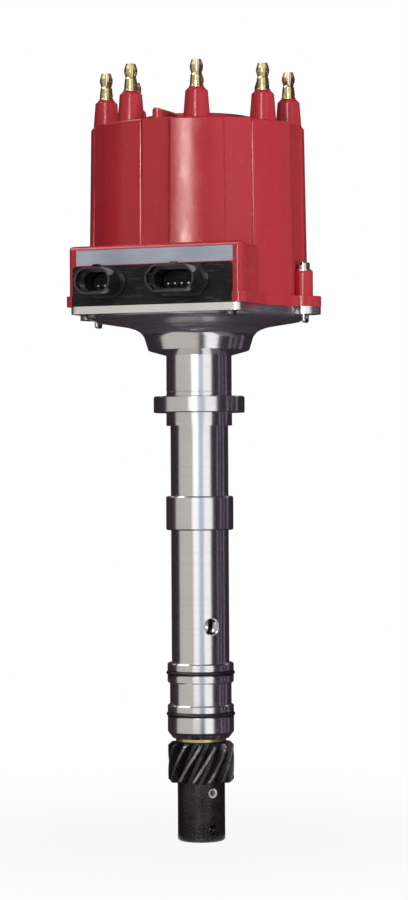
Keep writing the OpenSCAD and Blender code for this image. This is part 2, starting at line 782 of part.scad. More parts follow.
// Two insulated wires from the coil's post to the back of the module
module pickup_lead() {
  color("darkgreen")
  at_azimuth(lead_azimuth) for (side = [-1, 1])
    translate([side * 1.3, -coil_post_r - lead_bend_r, post_top]) {
      rotate([0, -90, 0]) rotate_extrude(angle = 90)
        translate([lead_bend_r, 0]) circle(lead_r, $fn = 32);
      translate([0, 0, lead_bend_r]) rotate([90, 0, 0])
        cylinder(h = case_back_r - coil_post_r - lead_bend_r - pass_gap, r = lead_r, $fn = 32);
    }
}

module reluctor() {
  star_z = pole_bottom - 0.5;
  star_h = pole_t + 1;
  color("silver")
  difference() {
    union() {
      bore(reluctor_hub_r, shoulder_top, reluctor_top - shoulder_top);
      bore(reluctor_r - 7, star_z, star_h);
      intersection() {
        for (i = [0:cylinders - 1]) at_azimuth(first_tower + 360 * i / cylinders)
          translate([0, 0, star_z]) linear_extrude(star_h)
            polygon([[-3.2, 0], [3.2, 0], [3.2, 8 - reluctor_r], [2, -reluctor_r - 1], [-2, -reluctor_r - 1],
                [-3.2, 8 - reluctor_r]]);
        bore(reluctor_r, star_z - over, star_h + 2 * over);
      }
    }
    bore(shaft_r + fit_gap, shoulder_top - over, reluctor_top - shoulder_top + 2 * over);
  }
}

module rotor_screw_places() {
  for (side = [0, 180]) at_azimuth(first_tower + 90 + side) translate([0, -rotor_screw_reach, 0]) children();
}

module rotor_peg_places() {
  for (side = [0, 180]) at_azimuth(first_tower + side) translate([0, -peg_reach, 0]) children();
}

// The billet plate on top of the shaft that carries the rotor
module rotor_mount() {
  plate_bottom = rotor_seat - mount_plate_t;
  color("silver")
  difference() {
    turned([[0, reluctor_top], [mount_hub_r, reluctor_top], [mount_hub_r, plate_bottom - 2],
        [mount_hub_r + 2, plate_bottom], [rotor_r - 2.4, plate_bottom], [rotor_r - 2, plate_bottom + 0.4],
        [rotor_r - 2, rotor_seat], [0, rotor_seat]]);
    bore(shaft_r + fit_gap, reluctor_top - over, rotor_seat - reluctor_top + 2 * over);
    rotor_screw_places() bore(rotor_screw_shank_r + fit_gap, plate_bottom - over, mount_plate_t + 2 * over);
    rotor_peg_places() bore(peg_r + pass_gap, rotor_seat - 3, 3 + over);
  }
}

// The plan of the rotor's arm and of the lobe that balances it
module rotor_arm() {
  end_r = blade_w / 2 + 2.2;
  reach = blade_tip_r - 4 - end_r;
  circle(14.3);
  translate([-end_r, -reach]) square([2 * end_r, reach]);
  translate([0, -reach]) circle(end_r);
  intersection() {
    circle(rotor_r - 6);
    translate([-11, 0]) square([22, rotor_r]);
  }
}

module rotor() {
  base_t = rotor_base_t;
  arm_t = 4.5;
  color("firebrick")
  difference() {
    union() {
      turned(concat([[0, rotor_seat], [rotor_r, rotor_seat], [rotor_r, rotor_seat + base_t - 1],
          [rotor_r - 1, rotor_seat + base_t], [16.5, rotor_seat + base_t]],
          arc(20, rotor_seat + 0.5 * (rotor_h + 0.4), 0.5 * (rotor_h - base_t - arm_t) + 0.2, 235, 125, 8),
          [[13.5, blade_bottom - arm_t + 1], [0, blade_bottom - arm_t + 1]]));
      at_azimuth(first_tower) translate([0, 0, blade_bottom - arm_t]) linear_extrude(arm_t) rotor_arm();
      rotor_peg_places() bore(peg_r, rotor_seat - 2.6, 3.6);
      for (i = [0:3]) at_azimuth(first_tower + 45 + 90 * i)
        translate([-1, -rotor_r + 3, rotor_seat + base_t - 0.5]) cube([2, rotor_r - 15, 6]);
    }
    rotor_screw_places() bore(rotor_screw_shank_r + pass_gap, rotor_seat - over, base_t + 2 * over);
  }
}

module rotor_blade() {
  color("gold")
  at_azimuth(first_tower) translate([0, 0, blade_bottom]) {
    linear_extrude(blade_t) intersection() {
      circle(blade_tip_r);
      union() {
        translate([-blade_w / 2, -blade_tip_r - over]) square([blade_w, blade_tip_r + 7]);
        translate([-blade_w / 2 - 2.5, -blade_tip_r - over]) square([blade_w + 5, 6]);
        circle(6.5);
      }
    }
    cylinder(h = blade_t + contact_t, r = 4.4);
    for (reach = [11.5, 26]) translate([0, -reach, 0]) cylinder(h = blade_t + 0.7, r = 1.9, $fn = 48);
  }
}

module rotor_screws() {
  color("silver") rotor_screw_places() translate([0, 0, rotor_seat + rotor_base_t])
    pan_screw(3.7, 2.4, rotor_screw_shank_r, rotor_base_t + mount_plate_t - 0.4);
}

module tower_places() {
  for (i = [0:cylinders - 1]) at_azimuth(first_tower + 360 * i / cylinders)
    translate([0, -tower_circle_r, 0]) children();
}

// Outside of one tower, standing on its axis, from z upwards
module tower(z) {
  bevel = 1.7;
  turned([[0, z], [tower_foot_r, z], [tower_foot_r, roof_top], [tower_top_r, tower_top - bevel],
      [tower_top_r - bevel, tower_top], [0, tower_top]]);
}

// The round part of the cap, with flat panels between its eight columns
module cap_drum() {
  edge = 1.2;
  difference() {
    turned(concat([[0, deck_top], [cap_foot_r, deck_top], [cap_top_r, roof_top - edge]],
        arc(cap_top_r - edge, roof_top - edge, edge, 15, 90, 5), [[0, roof_top]]));
    for (i = [0:cylinders - 1]) at_azimuth(360 * i / cylinders) panel_cut();
  }
}

// The room in front of a flat panel: its sides slope outwards and draw apart towards the roof
module panel_cut() {
  size = cap_h + 20;
  side_slope = 32;
  spread = atan((panel_top_w - panel_foot_w) / cap_h);
  intersection() {
    translate([0, -panel_foot_reach, deck_top]) rotate([-draft, 0, 0])
      translate([-size / 2, -10, flange_t - 2]) cube([size, 10, size]);
    panel_side_cut(size, side_slope, spread);
    mirror([1, 0, 0]) panel_side_cut(size, side_slope, spread);
  }
}

// Everything inwards of one side of a flat panel
module panel_side_cut(size, slope, spread) {
  translate([panel_foot_w, -panel_foot_reach, deck_top]) rotate([0, spread, slope])
    translate([-size, -size / 2, -size / 2]) cube([size, size, 2 * size]);
}

// A block with a square front, rounded along its front and upper edges
module box_block(half_w, front, top, round_r, back) {
  intersection() {
    translate([0, 0, deck_top]) linear_extrude(top - deck_top)
      polygon(concat(arc(half_w - round_r, round_r - front, round_r, -90, 0, 6),
          [[half_w, -back], [-half_w, -back]], arc(round_r - half_w, round_r - front, round_r, 180, 270, 6)));
    facing(front + over, back - over) polygon(concat([[-half_w, deck_top - over], [half_w, deck_top - over]],
        arc(half_w - round_r, top - round_r, round_r, 0, 90, 6),
        arc(round_r - half_w, top - round_r, round_r, 90, 180, 6)));
    rotate([0, 0, 90]) facing(half_w + over, -half_w - over)
      polygon(concat([[-back, deck_top - over], [-back, top]],
          arc(round_r - front, top - round_r, round_r, 90, 180, 6), [[-front, deck_top - over]]));
  }
}

// A rectangle with round upper corners, in X and Z
module panel_shape(half_w, bottom, top, corner) {
  polygon(concat([[-half_w, bottom], [half_w, bottom]], arc(half_w - corner, top - corner, corner, 0, 90, 6),
      arc(corner - half_w, top - corner, corner, 90, 180, 6)));
}

// The raised disc in the middle of the roof and the rib that runs from it to the front
module roof_relief() {
  edge = 1.4;
  disc_top = roof_top + roof_disc_h;
  rib_end = panel_top_reach - roof_rib_w / 2;
  rib_round = 2.2;
  turned(concat([[0, roof_top - over], [roof_disc_r, roof_top - over]],
      arc(roof_disc_r - edge, disc_top - edge, edge, 0, 90, 5), [[0, disc_top]]));
  intersection() {
    facing(cap_top_r, 0) panel_shape(roof_rib_w / 2, roof_top - over, disc_top, rib_round);
    translate([0, 0, roof_top - over]) linear_extrude(roof_disc_h + over) {
      translate([-roof_rib_w / 2, -rib_end]) square([roof_rib_w, rib_end]);
      translate([0, -rib_end]) circle(roof_rib_w / 2, $fn = 48);
    }
  }
}

module latch_places() {
  for (side = [-1, 1]) translate([side * latch_reach, 0, 0]) children();
}

module cap() {
  cavity_round = 3;
  window_top = panel_top + window_gap;
  color("firebrick")
  difference() {
    union() {
      difference() {
        union() {
          cap_drum();
          translate([0, 0, deck_top]) linear_extrude(flange_t)
            outline(front_half_w + 1.9 * flange_step, front_reach + flange_step, front_corner_r,
                deck_r + flange_step, ear_r + 0.2);
          box_block(box_half_w, front_reach, box_top, box_round, front_reach - box_rim);
          box_block(box_half_w - box_inset, front_reach - 1, box_top - box_inset, box_round, box_back);
          latch_places() bore(latch_boss_r, deck_top, latch_boss_h + flange_t);
        }
        turned(concat([[0, deck_top - over], [cavity_foot_r, deck_top - over], [cavity_foot_r, deck_top]],
            arc(cavity_top_r - cavity_round, roof_under - cavity_round, cavity_round, 0, 90, 6),
            [[0, roof_under]]));
        box_cavity();
      }
      intersection() {
        union() {
          tower_places() bore(column_r, column_bottom, roof_top - column_bottom - over);
          bore(brush_boss_r, brush_boss_bottom, roof_top - brush_boss_bottom - over);
        }
        bore(cap_top_r - 1, deck_top, cap_h);
      }
      tower_places() tower(roof_top - 2);
      tower(roof_top - 2);
      roof_relief();
    }
    tower_places() bore(electrode_r + fit_gap, column_bottom - over, tower_top - column_bottom + 2 * over);
    bore(brush_r + running_gap, brush_boss_bottom - over,
        centre_insert_bottom - brush_boss_bottom + over + 1);
    bore(electrode_r + fit_gap, centre_insert_bottom, tower_top - centre_insert_bottom + over);
    facing(max(front_reach, cap_foot_r) + 2 * over, case_front - 2)
      translate([panel_shift, 0])
        panel_shape(panel_half_w + window_gap, deck_top - over, window_top, panel_corner_r + window_gap);
    facing(front_reach + over, front_reach - label_t - 0.05)
      translate([label_left, label_bottom]) square([label_right - label_left, label_h]);
    latch_places() {
      bore(latch_bore_r, spring_floor, boss_top - spring_floor + over);
      bore(latch_rod_r + running_gap, deck_top - over, spring_floor - deck_top + 2 * over);
      bore(washer_r + pass_gap, boss_top, washer_t + latch_head_h + over);
    }
  }
}

// The room for the module inside the box
module box_cavity() {
  half_w = box_half_w - box_inset - box_wall;
  translate([-half_w, box_front_wall - front_reach, deck_top - over])
    cube([2 * half_w, front_reach - box_front_wall - box_cavity_back,
        box_h - box_inset - box_wall + over]);
}

// The crimped terminal that a lead's boot snaps on, with its shank below z = 0
module terminal(shank_l) {
  h = terminal_h;
  difference() {
    union() {
      turned([[0, 0], [terminal_r + 0.35, 0], [terminal_r + 0.35, 0.6], [terminal_r, 0.9],
          [terminal_r - 0.05, 0.2 * h], [terminal_r - 0.4, 0.44 * h], [terminal_r - 0.75, 0.49 * h],
          [terminal_r - 0.55, 0.55 * h], [terminal_r - 0.1, 0.66 * h], [terminal_r, 0.73 * h],
          [terminal_r - 0.1, 0.8 * h], [terminal_r - 0.9, h], [0, h]]);
      translate([0, 0, -shank_l]) cylinder(h = shank_l + 0.3 * h, r = electrode_r);
    }
    turned([[0, 0.5 * h], [terminal_r - 1.3, 0.5 * h], [terminal_r - 0.75, 0.7 * h], [terminal_r - 1.4, h],
        [terminal_r - 1.4, h + over], [0, h + over]]);
    for (turn = [0, 90]) rotate([0, 0, turn])
      translate([-0.35, -terminal_r - over, 0.56 * h]) cube([0.7, 2 * terminal_r + 2 * over, h]);
  }
}

shank_l = 9.5;

module tower_terminals() {
  color("gold") tower_places() translate([0, 0, tower_top]) terminal(shank_l);
}

// Rods in the columns, each with a face bare to the rotor's blade
module electrodes() {
  low = blade_bottom - electrode_reach;
  color("silver") tower_places()
    turned([[0, low], [electrode_r - 0.6, low], [electrode_r, low + 0.6], [electrode_r, tower_top - shank_l],
        [0, tower_top - shank_l]]);
}

module centre_terminal() {
  color("gold") union() {
    translate([0, 0, tower_top]) terminal(tower_top - centre_insert_bottom - 0.9);
    bore(brush_r, centre_insert_bottom, 1);
  }
}

module carbon_brush() {
  color("black")
  turned([[0, contact_top], [brush_r - 0.8, contact_top], [brush_r, contact_top + 0.8],
      [brush_r, brush_top - 0.3], [brush_r - 0.3, brush_top], [0, brush_top]]);
}

module brush_spring() {
  color("silver") translate([0, 0, brush_top])
    coil_spring(brush_r - 0.7, 0.35, centre_insert_bottom - brush_top, 7);
}

module label_plate() {
  gap = 0.1;
  color("lightsteelblue") facing(front_reach - 0.05, front_reach - label_t - 0.05)
    translate([label_left + gap, label_bottom + gap])
      square([label_right - label_left - 2 * gap, label_h - 2 * gap]);
}

// Outline of the two-way socket: straight sides with round ends, shrunk by an inset
module two_way_shape(inset) {
  r = shroud_half_h - inset;
  straight = two_way_half_w - shroud_half_h;
  translate([two_way_x, shroud_z]) {
    for (side = [-1, 1]) translate([side * straight, 0]) circle(r, $fn = 64);
    translate([-straight, -r]) square([2 * straight, 2 * r]);
  }
}

// Outline of the four-way socket: a long hexagon with blunt ends, shrunk by an inset
module four_way_shape(inset) {
  w = four_way_half_w - inset;
  h = shroud_half_h - inset;
  blunt = 1.9;
  slant = 3.9 - 0.3 * inset;
  translate([four_way_x, shroud_z])
    polygon([[-w, -blunt], [slant - w, -h], [w - slant, -h], [w, -blunt], [w, blunt], [w - slant, h],
        [slant - w, h], [-w, blunt]]);
}

// The nib on a shroud that holds a plug's latch
module lock_nib(x) {
  top = shroud_z + shroud_half_h;
  translate([x - 1.8, 0, 0]) rotate([90, 0, 90]) linear_extrude(3.6)
    polygon([[3.2 - mouth, top - 0.5], [7 - mouth, top - 0.5], [7 - mouth, top + 1.6],
        [5.6 - mouth, top + 1.6], [3.2 - mouth, top + 0.2]]);
}

// The centres of a socket's contact pins, in a row
module contact_places(x, ways) {
  for (i = [0:ways - 1]) translate([x + (i - (ways - 1) / 2) * contact_pitch, 0, contact_z]) children();
}

module module_screw_places() {
  for (side = [-1, 1]) translate([side * module_screw_x, module_screw_y, 0]) children();
}

module module_case() {
  color([0.12, 0.12, 0.13])
  difference() {
    union() {
      facing(panel_front, case_front - 0.5)
        translate([panel_shift, 0]) panel_shape(panel_half_w, panel_bottom, panel_top, panel_corner_r);
      difference() {
        facing(case_front, case_wing_back) panel_shape(case_half_w, deck_top, deck_top + case_h, 1.5);
        bore(case_back_r, deck_top - over, case_h + 2 * over);
      }
      facing(mouth, case_front) two_way_shape(0);
      facing(mouth, case_front) four_way_shape(0);
      facing(panel_front + 1.2, case_front) two_way_shape(-1.2);
      facing(panel_front + 1.2, case_front) four_way_shape(-1.2);
      lock_nib(two_way_x);
      lock_nib(four_way_x);
    }
    facing(mouth + over, mouth - mouth_step) two_way_shape(mouth_wall);
    facing(mouth + over, mouth - mouth_step) four_way_shape(mouth_wall);
    facing(mouth, socket_floor) two_way_shape(shroud_wall);
    facing(mouth, socket_floor) four_way_shape(shroud_wall);
    translate([-board_half_w - 0.2, -board_back - board_t - 0.1, deck_top - over])
      cube([2 * board_half_w + 0.4, board_t + 0.2, case_h - 2.5 + over]);
    contact_places(two_way_x, 2) contact_hole();
    contact_places(four_way_x, 4) contact_hole();
    module_screw_places() bore(module_screw_r + fit_gap, deck_top - over, module_screw_bite + 1 + over);
  }
}

// The hole that a contact pin is pressed through
module contact_hole() {
  translate([0, -board_back, 0]) rotate([90, 0, 0]) cylinder(h = 5, r = contact_r + fit_gap, $fn = 32);
}

module module_board() {
  color("darkgreen")
  difference() {
    translate([-board_half_w, -board_back - board_t, deck_top + 0.2])
      cube([2 * board_half_w, board_t, case_h - 3]);
    contact_places(two_way_x, 2) translate([0, over, 0]) contact_hole();
    contact_places(four_way_x, 4) translate([0, over, 0]) contact_hole();
  }
}

// A contact pin with a round tip
module contact() {
  tip = mouth - contact_setback;
  translate([0, -board_back, 0]) rotate([90, 0, 0])
    turned(concat([[0, 0], [contact_r, 0]],
        arc(contact_r - 0.5, tip - board_back - 0.5, 0.5, 0, 90, 4), [[0, tip - board_back]]), $fn = 32);
}

module two_way_pins() {
  color("gainsboro") contact_places(two_way_x, 2) contact();
}

module four_way_pins() {
  color("gainsboro") contact_places(four_way_x, 4) contact();
}

module module_screws() {
  color("silver") module_screw_places() translate([0, 0, deck_bottom]) mirror([0, 0, 1])
    pan_screw(3, 2.1, module_screw_r, deck_t + module_screw_bite);
}

module latch_washers() {
  color("silver") latch_places() ring(washer_r, latch_bore_r, boss_top, washer_t);
}

// A latch's slotted screw, rod and hook, which points to the rear when it holds the cap
module latch_screw() {
  color("silver") {
    difference() {
      union() {
        turned([[0, latch_head_bottom], [latch_head_r, latch_head_bottom],
            [latch_head_r, latch_head_top - 0.4], [latch_head_r - 0.4, latch_head_top],
            [0, latch_head_top]]);
        bore(latch_rod_r, hook_z, latch_head_bottom - hook_z + 0.1);
        translate([0, 0, hook_z]) sphere(latch_rod_r, $fn = 48);
        translate([0, 0, hook_z]) rotate([-90, 0, 0])
          cylinder(h = latch_hook_reach - latch_rod_r, r = latch_rod_r, $fn = 48);
        translate([0, latch_hook_reach - latch_rod_r, hook_z]) {
          sphere(latch_rod_r, $fn = 48);
          cylinder(h = hook_rise, r = latch_rod_r, $fn = 48);
        }
      }
      translate([-0.6, -latch_head_r - over, latch_head_top - 1.4])
        cube([1.2, 2 * latch_head_r + 2 * over, 1.4 + over]);
    }
  }
}

module left_latch_screw() {
  translate([-latch_reach, 0, 0]) latch_screw();
}

module right_latch_screw() {
  translate([latch_reach, 0, 0]) latch_screw();
}

module spring_seat() {
  color("silver") ring(latch_head_r, latch_rod_r + running_gap, spring_top, spring_seat_t);
}

module left_spring_seat() {
  translate([-latch_reach, 0, 0]) spring_seat();
}

module right_spring_seat() {
  translate([latch_reach, 0, 0]) spring_seat();
}

module latch_spring() {
  wire_r = 0.4;
  mean_r = (latch_rod_r + latch_bore_r) / 2 + 0.1;
  color("silver") translate([0, 0, spring_floor]) coil_spring(mean_r, wire_r, spring_top - spring_floor, 5);
}

module left_latch_spring() {
  translate([-latch_reach, 0, 0]) latch_spring();
}

module right_latch_spring() {
  translate([latch_reach, 0, 0]) latch_spring();
}

housing();
lower_bushing();
upper_seal();
lower_seal();
bearing_outer_race();
bearing_inner_race();
bearing_cage();
bearing_balls();
snap_ring();
main_shaft();
thrust_washer();
gear_shim();
drive_gear();
roll_pin();
pickup_base();
pickup_magnet();
pickup_coil();
pole_piece();
pickup_screws();
pickup_lead();
reluctor();
rotor_mount();
rotor();
rotor_blade();
rotor_screws();
cap();
tower_terminals();
electrodes();
centre_terminal();
carbon_brush();
brush_spring();
label_plate();
module_case();
module_board();
two_way_pins();
four_way_pins();
module_screws();
latch_washers();
left_latch_screw();
right_latch_screw();
left_spring_seat();
right_spring_seat();
left_latch_spring();
right_latch_spring();
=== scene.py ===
"""Looks of the ignition distributor: finishes, detailed pieces, studio and camera.

Everything is in metres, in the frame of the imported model: the origin is on the shaft's axis at the
underside of the clamp collar, +Z runs up the shaft and the two sockets face -Y.
"""

from __future__ import annotations

import json
import logging
import math
from collections.abc import Callable
from dataclasses import dataclass
from enum import Enum

import bpy
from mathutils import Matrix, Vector

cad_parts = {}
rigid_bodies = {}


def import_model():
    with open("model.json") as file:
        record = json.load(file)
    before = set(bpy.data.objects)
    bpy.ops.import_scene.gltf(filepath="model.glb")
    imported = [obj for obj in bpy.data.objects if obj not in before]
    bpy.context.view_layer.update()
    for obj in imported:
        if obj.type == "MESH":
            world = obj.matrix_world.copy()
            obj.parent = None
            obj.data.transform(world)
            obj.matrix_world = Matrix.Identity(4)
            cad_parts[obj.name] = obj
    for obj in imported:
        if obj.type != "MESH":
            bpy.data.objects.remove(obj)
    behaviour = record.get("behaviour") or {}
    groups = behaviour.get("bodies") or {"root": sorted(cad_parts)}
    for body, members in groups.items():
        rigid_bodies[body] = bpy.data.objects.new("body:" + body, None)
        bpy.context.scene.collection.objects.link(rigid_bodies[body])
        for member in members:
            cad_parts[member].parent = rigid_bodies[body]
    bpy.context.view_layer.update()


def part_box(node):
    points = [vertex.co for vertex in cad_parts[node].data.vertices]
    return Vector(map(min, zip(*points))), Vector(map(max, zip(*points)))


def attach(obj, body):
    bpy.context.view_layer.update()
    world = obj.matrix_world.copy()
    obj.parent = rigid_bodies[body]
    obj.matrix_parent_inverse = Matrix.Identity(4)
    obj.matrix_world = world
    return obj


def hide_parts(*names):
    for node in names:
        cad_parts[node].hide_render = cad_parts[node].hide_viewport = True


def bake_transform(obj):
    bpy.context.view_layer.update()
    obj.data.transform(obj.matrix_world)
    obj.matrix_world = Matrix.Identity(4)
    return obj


MM = 0.001
JOINED_WITHIN = 0.002 * MM
FLAT_BELOW = 0.6
SMOOTH_BELOW = 32
WIRE_SMOOTH_BELOW = 50
NEARLY_ALONG = 0.95
LOG = logging.getLogger("distributor")
Rgb = tuple[float, float, float]
Socket = bpy.types.NodeSocket
Piece = bpy.types.Object


class Side(Enum):
    """The side of the cap that a latch holds."""

    LEFT = "left"
    RIGHT = "right"


class Graph:
    """The node tree of a material or a world, which grows by short calls."""

    def __init__(self, owner: bpy.types.ID, output: str) -> None:
        """Empties the tree and gives it an output.

        Args:
            owner: The material or world.
            output: The kind of the output node.
        """
        owner.use_nodes = True
        self.owner = owner
        self.tree = owner.node_tree
        self.tree.nodes.clear()
        self.end = self.add(output).inputs["Surface"]

    def put(self, socket: Socket, value: object) -> None:
        """Links an output to a socket, or sets the socket to a plain value.

        Args:
            socket: The socket.
            value: The output, number or colour.
        """
        if isinstance(value, Socket):
            self.tree.links.new(value, socket)
        else:
            socket.default_value = (*value, 1.0) if socket.type == "RGBA" else value

    def add(self, kind: str, **values: object) -> bpy.types.Node:
        """Adds a node.

        Args:
            kind: The node's type, after the word that all types share.
            **values: Its settings, in lower case, then what its sockets get, named with underscores for spaces.

        Returns:
            The node.
        """
        node = self.tree.nodes.new(f"ShaderNode{kind}")
        for name, value in values.items():
            if name.islower():
                setattr(node, name, value)
            else:
                self.put(node.inputs[name.replace("_", " ")], value)
        return node

    def show(self, share: object, first: bpy.types.Node, second: bpy.types.Node) -> None:
        """Ends the tree in a blend of two shaders.

        Args:
            share: The second shader's share, from 0 to 1.
            first: The first shader.
            second: The second shader.
        """
        mixed = self.add("MixShader")
        for socket, value in zip(mixed.inputs, (share, first.outputs[0], second.outputs[0])):
            self.put(socket, value)
        self.put(self.end, mixed.outputs[0])

    def math(self, operation: str, first: object, second: object = 0.0, clamp: bool = False) -> Socket:
        """A Math node's result.

        Args:
            operation: The node's operation, such as MULTIPLY.
            first: The first value or output.
            second: The second value or output.
            clamp: Whether the result is kept from 0 to 1.

        Returns:
            The node's output.
        """
        node = self.add("Math", operation=operation, use_clamp=clamp)
        self.put(node.inputs[0], first)
        self.put(node.inputs[1], second)
        return node.outputs[0]

    def above(self, value: object, level: float, width: float, most: float = 1.0) -> Socket:
        """A soft-edged mask of what lies above a level.

        Args:
            value: The value that is masked.
            level: The level in the middle of the mask's edge.
            width: How far the edge reaches from 0 to the most.
            most: The mask's value above the edge.

        Returns:
            The mask.
        """
        return self.add("MapRange", interpolation_type="SMOOTHSTEP", Value=value, From_Min=level - width / 2,
                        From_Max=level + width / 2, To_Max=most).outputs["Result"]

    def remap(self, value: object, low: float, high: float, new_low: float, new_high: float) -> Socket:
        """Maps a value from one range to another, clamped.

        Args:
            value: The value.
            low: The first range's start.
            high: The first range's end.
            new_low: The second range's start.
            new_high: The second range's end.

        Returns:
            The new value.
        """
        return self.add("MapRange", Value=value, From_Min=low, From_Max=high, To_Min=new_low,
                        To_Max=new_high).outputs["Result"]

    def mix(self, share: object, first: object, second: object) -> Socket:
        """Blends two colours or two numbers.

        Args:
            share: The second one's share, from 0 to 1.
            first: The first colour or number.
            second: The second colour or number.

        Returns:
            What lies between them.
        """
        is_colour = first.type == "RGBA" if isinstance(first, Socket) else isinstance(first, tuple)
        return self.add("Mix", data_type="RGBA" if is_colour else "FLOAT", Factor=share, A=first,
                        B=second).outputs["Result"]

    def seen_plainly(self) -> Socket:
        """A switch between what is seen and what only lights the object.

        Returns:
            1 for rays from the camera, in gloss and through clear bodies, and 0 for light on the object.
        """
        path = self.add("LightPath").outputs
        seen = self.math("MAXIMUM", path["Is Camera Ray"], path["Is Glossy Ray"])
        return self.math("MAXIMUM", seen, path["Is Transmission Ray"])

    def bump(self, height: object, strength: float, distance: float, **under: Socket) -> Socket:
        """A normal from a height.

        Args:
            height: The height, from 0 to 1.
            strength: How much of the bump is used.
            distance: The height of 1 in metres.
            **under: Another bump's normal under this one, as Normal.

        Returns:
            The normal.
        """
        return self.add("Bump", Strength=strength, Distance=distance, Height=height, **under).outputs[0]


class Shader(Graph):
    """A piece's material: a Principled shader and textures on the piece's own coordinates."""

    def __init__(self, name: str) -> None:
        """Starts the material.

        Args:
            name: The material's name.
        """
        super().__init__(bpy.data.materials.new(name), "OutputMaterial")
        self.surface = self.add("BsdfPrincipled")
        self.put(self.end, self.surface.outputs[0])
        coordinates = self.add("TexCoord").outputs
        self.place = coordinates["Object"]
        self.x, self.y, self.z = self.add("SeparateXYZ", Vector=self.place).outputs
        self.facing = self.add("SeparateXYZ", Vector=coordinates["Normal"]).outputs

    def set(self, **values: object) -> None:
        """Sets the Principled shader's sockets.

        Args:
            **values: What each socket gets, named with underscores for spaces.
        """
        for name, value in values.items():
            self.put(self.surface.inputs[name.replace("_", " ")], value)

    def noise(self, scale: float, detail: float, rough: float, stretch: tuple = ()) -> Socket:
        """Noise from 0 to 1 on the piece's own coordinates.

        Args:
            scale: Features per metre.
            detail: Octaves.
            rough: How strong the finer octaves are.
            stretch: What the coordinates are first scaled by along x, y and z, if by anything.

        Returns:
            The noise.
        """
        place = self.place
        if stretch:
            place = self.add("Mapping", Vector=place, Scale=stretch).outputs[0]
        return self.add("TexNoise", Vector=place, Scale=scale, Detail=detail, Roughness=rough).outputs["Fac"]

    def lines(self, along: Socket, per_metre: float, detail: float, rough: float) -> Socket:
        """Noise that changes along one value only.

        Args:
            along: The value.
            per_metre: Lines per metre of it.
            detail: Octaves.
            rough: How strong the finer octaves are.

        Returns:
            The lines, from 0 to 1.
        """
        place = self.add("CombineXYZ", Z=along).outputs[0]
        return self.add("TexNoise", Vector=place, Scale=per_metre, Detail=detail, Roughness=rough).outputs["Fac"]

    def radius(self) -> Socket:
        """The distance from the shaft's axis.

        Returns:
            The distance in metres.
        """
        squares = (self.math("MULTIPLY", value, value) for value in (self.x, self.y))
        return self.math("SQRT", self.math("ADD", *squares))

    def ring_lines(self, per_metre: float, detail: float = 4.0) -> Socket:
        """Fine lines that run round the shaft's axis on cylinders and on flat faces alike.

        Args:
            per_metre: Lines per metre.
            detail: Octaves.

        Returns:
            The lines, from 0 to 1.
        """
        return self.lines(self.math("ADD", self.radius(), self.z), per_metre, detail, 0.65)

    def radial_tangent(self) -> Socket:
        """The direction round the shaft's axis, for a turned surface's stretched highlight.

        Returns:
            The tangent.
        """
        return self.add("Tangent", direction_type="RADIAL", axis="Z").outputs[0]


@dataclass(frozen=True)
class Finish:
    """A finish. A subclass draws it, once for each name."""

    name: str

    def draw(self, shader: Shader) -> None:
        """Draws the finish's nodes.

        Args:
            shader: The material that gets them.
        """
        raise NotImplementedError

    def material(self) -> bpy.types.Material:
        """Makes the finish's material at the first call.

        Returns:
            The material.
        """
        label = f"{self.name}_finish"
        if label not in bpy.data.materials:
            self.draw(Shader(label))
        return bpy.data.materials[label]


@dataclass(frozen=True)
class TurnedMetal(Finish):
    """Bright metal from the lathe, with fine tool lines."""

    colour: Rgb = (0.86, 0.86, 0.88)
    stain: Rgb = (0.66, 0.65, 0.66)
    roughness: float = 0.17
    broad_lines: float = 900
    fine_lines: float = 5200
    line_height: float = 0.004 * MM
    stretch: float = 0.55

    def draw(self, shader: Shader) -> None:
        """Tool lines, a faint handling bloom and stretched highlights.

        Args:
            shader: The material.
        """
        broad, fine = shader.ring_lines(self.broad_lines), shader.ring_lines(self.fine_lines, 2.0)
        lines = shader.mix(0.4, broad, fine)
        bloom = shader.noise(38, 4.0, 0.6)
        spots = shader.above(shader.noise(260, 2.0, 0.5), 0.7, 0.08, 0.06)
        shade = shader.math("ADD", shader.above(bloom, 0.56, 0.3, 0.32), shader.above(lines, 0.6, 0.25, 0.28))
        rough = shader.remap(lines, 0.3, 0.7, self.roughness - 0.05, self.roughness + 0.09)
        shader.set(Base_Color=shader.mix(shade, self.colour, self.stain), Metallic=1.0,
                   Roughness=shader.math("ADD", rough, spots), Anisotropic=self.stretch,
                   Tangent=shader.radial_tangent(), Normal=shader.bump(lines, 0.55, self.line_height))


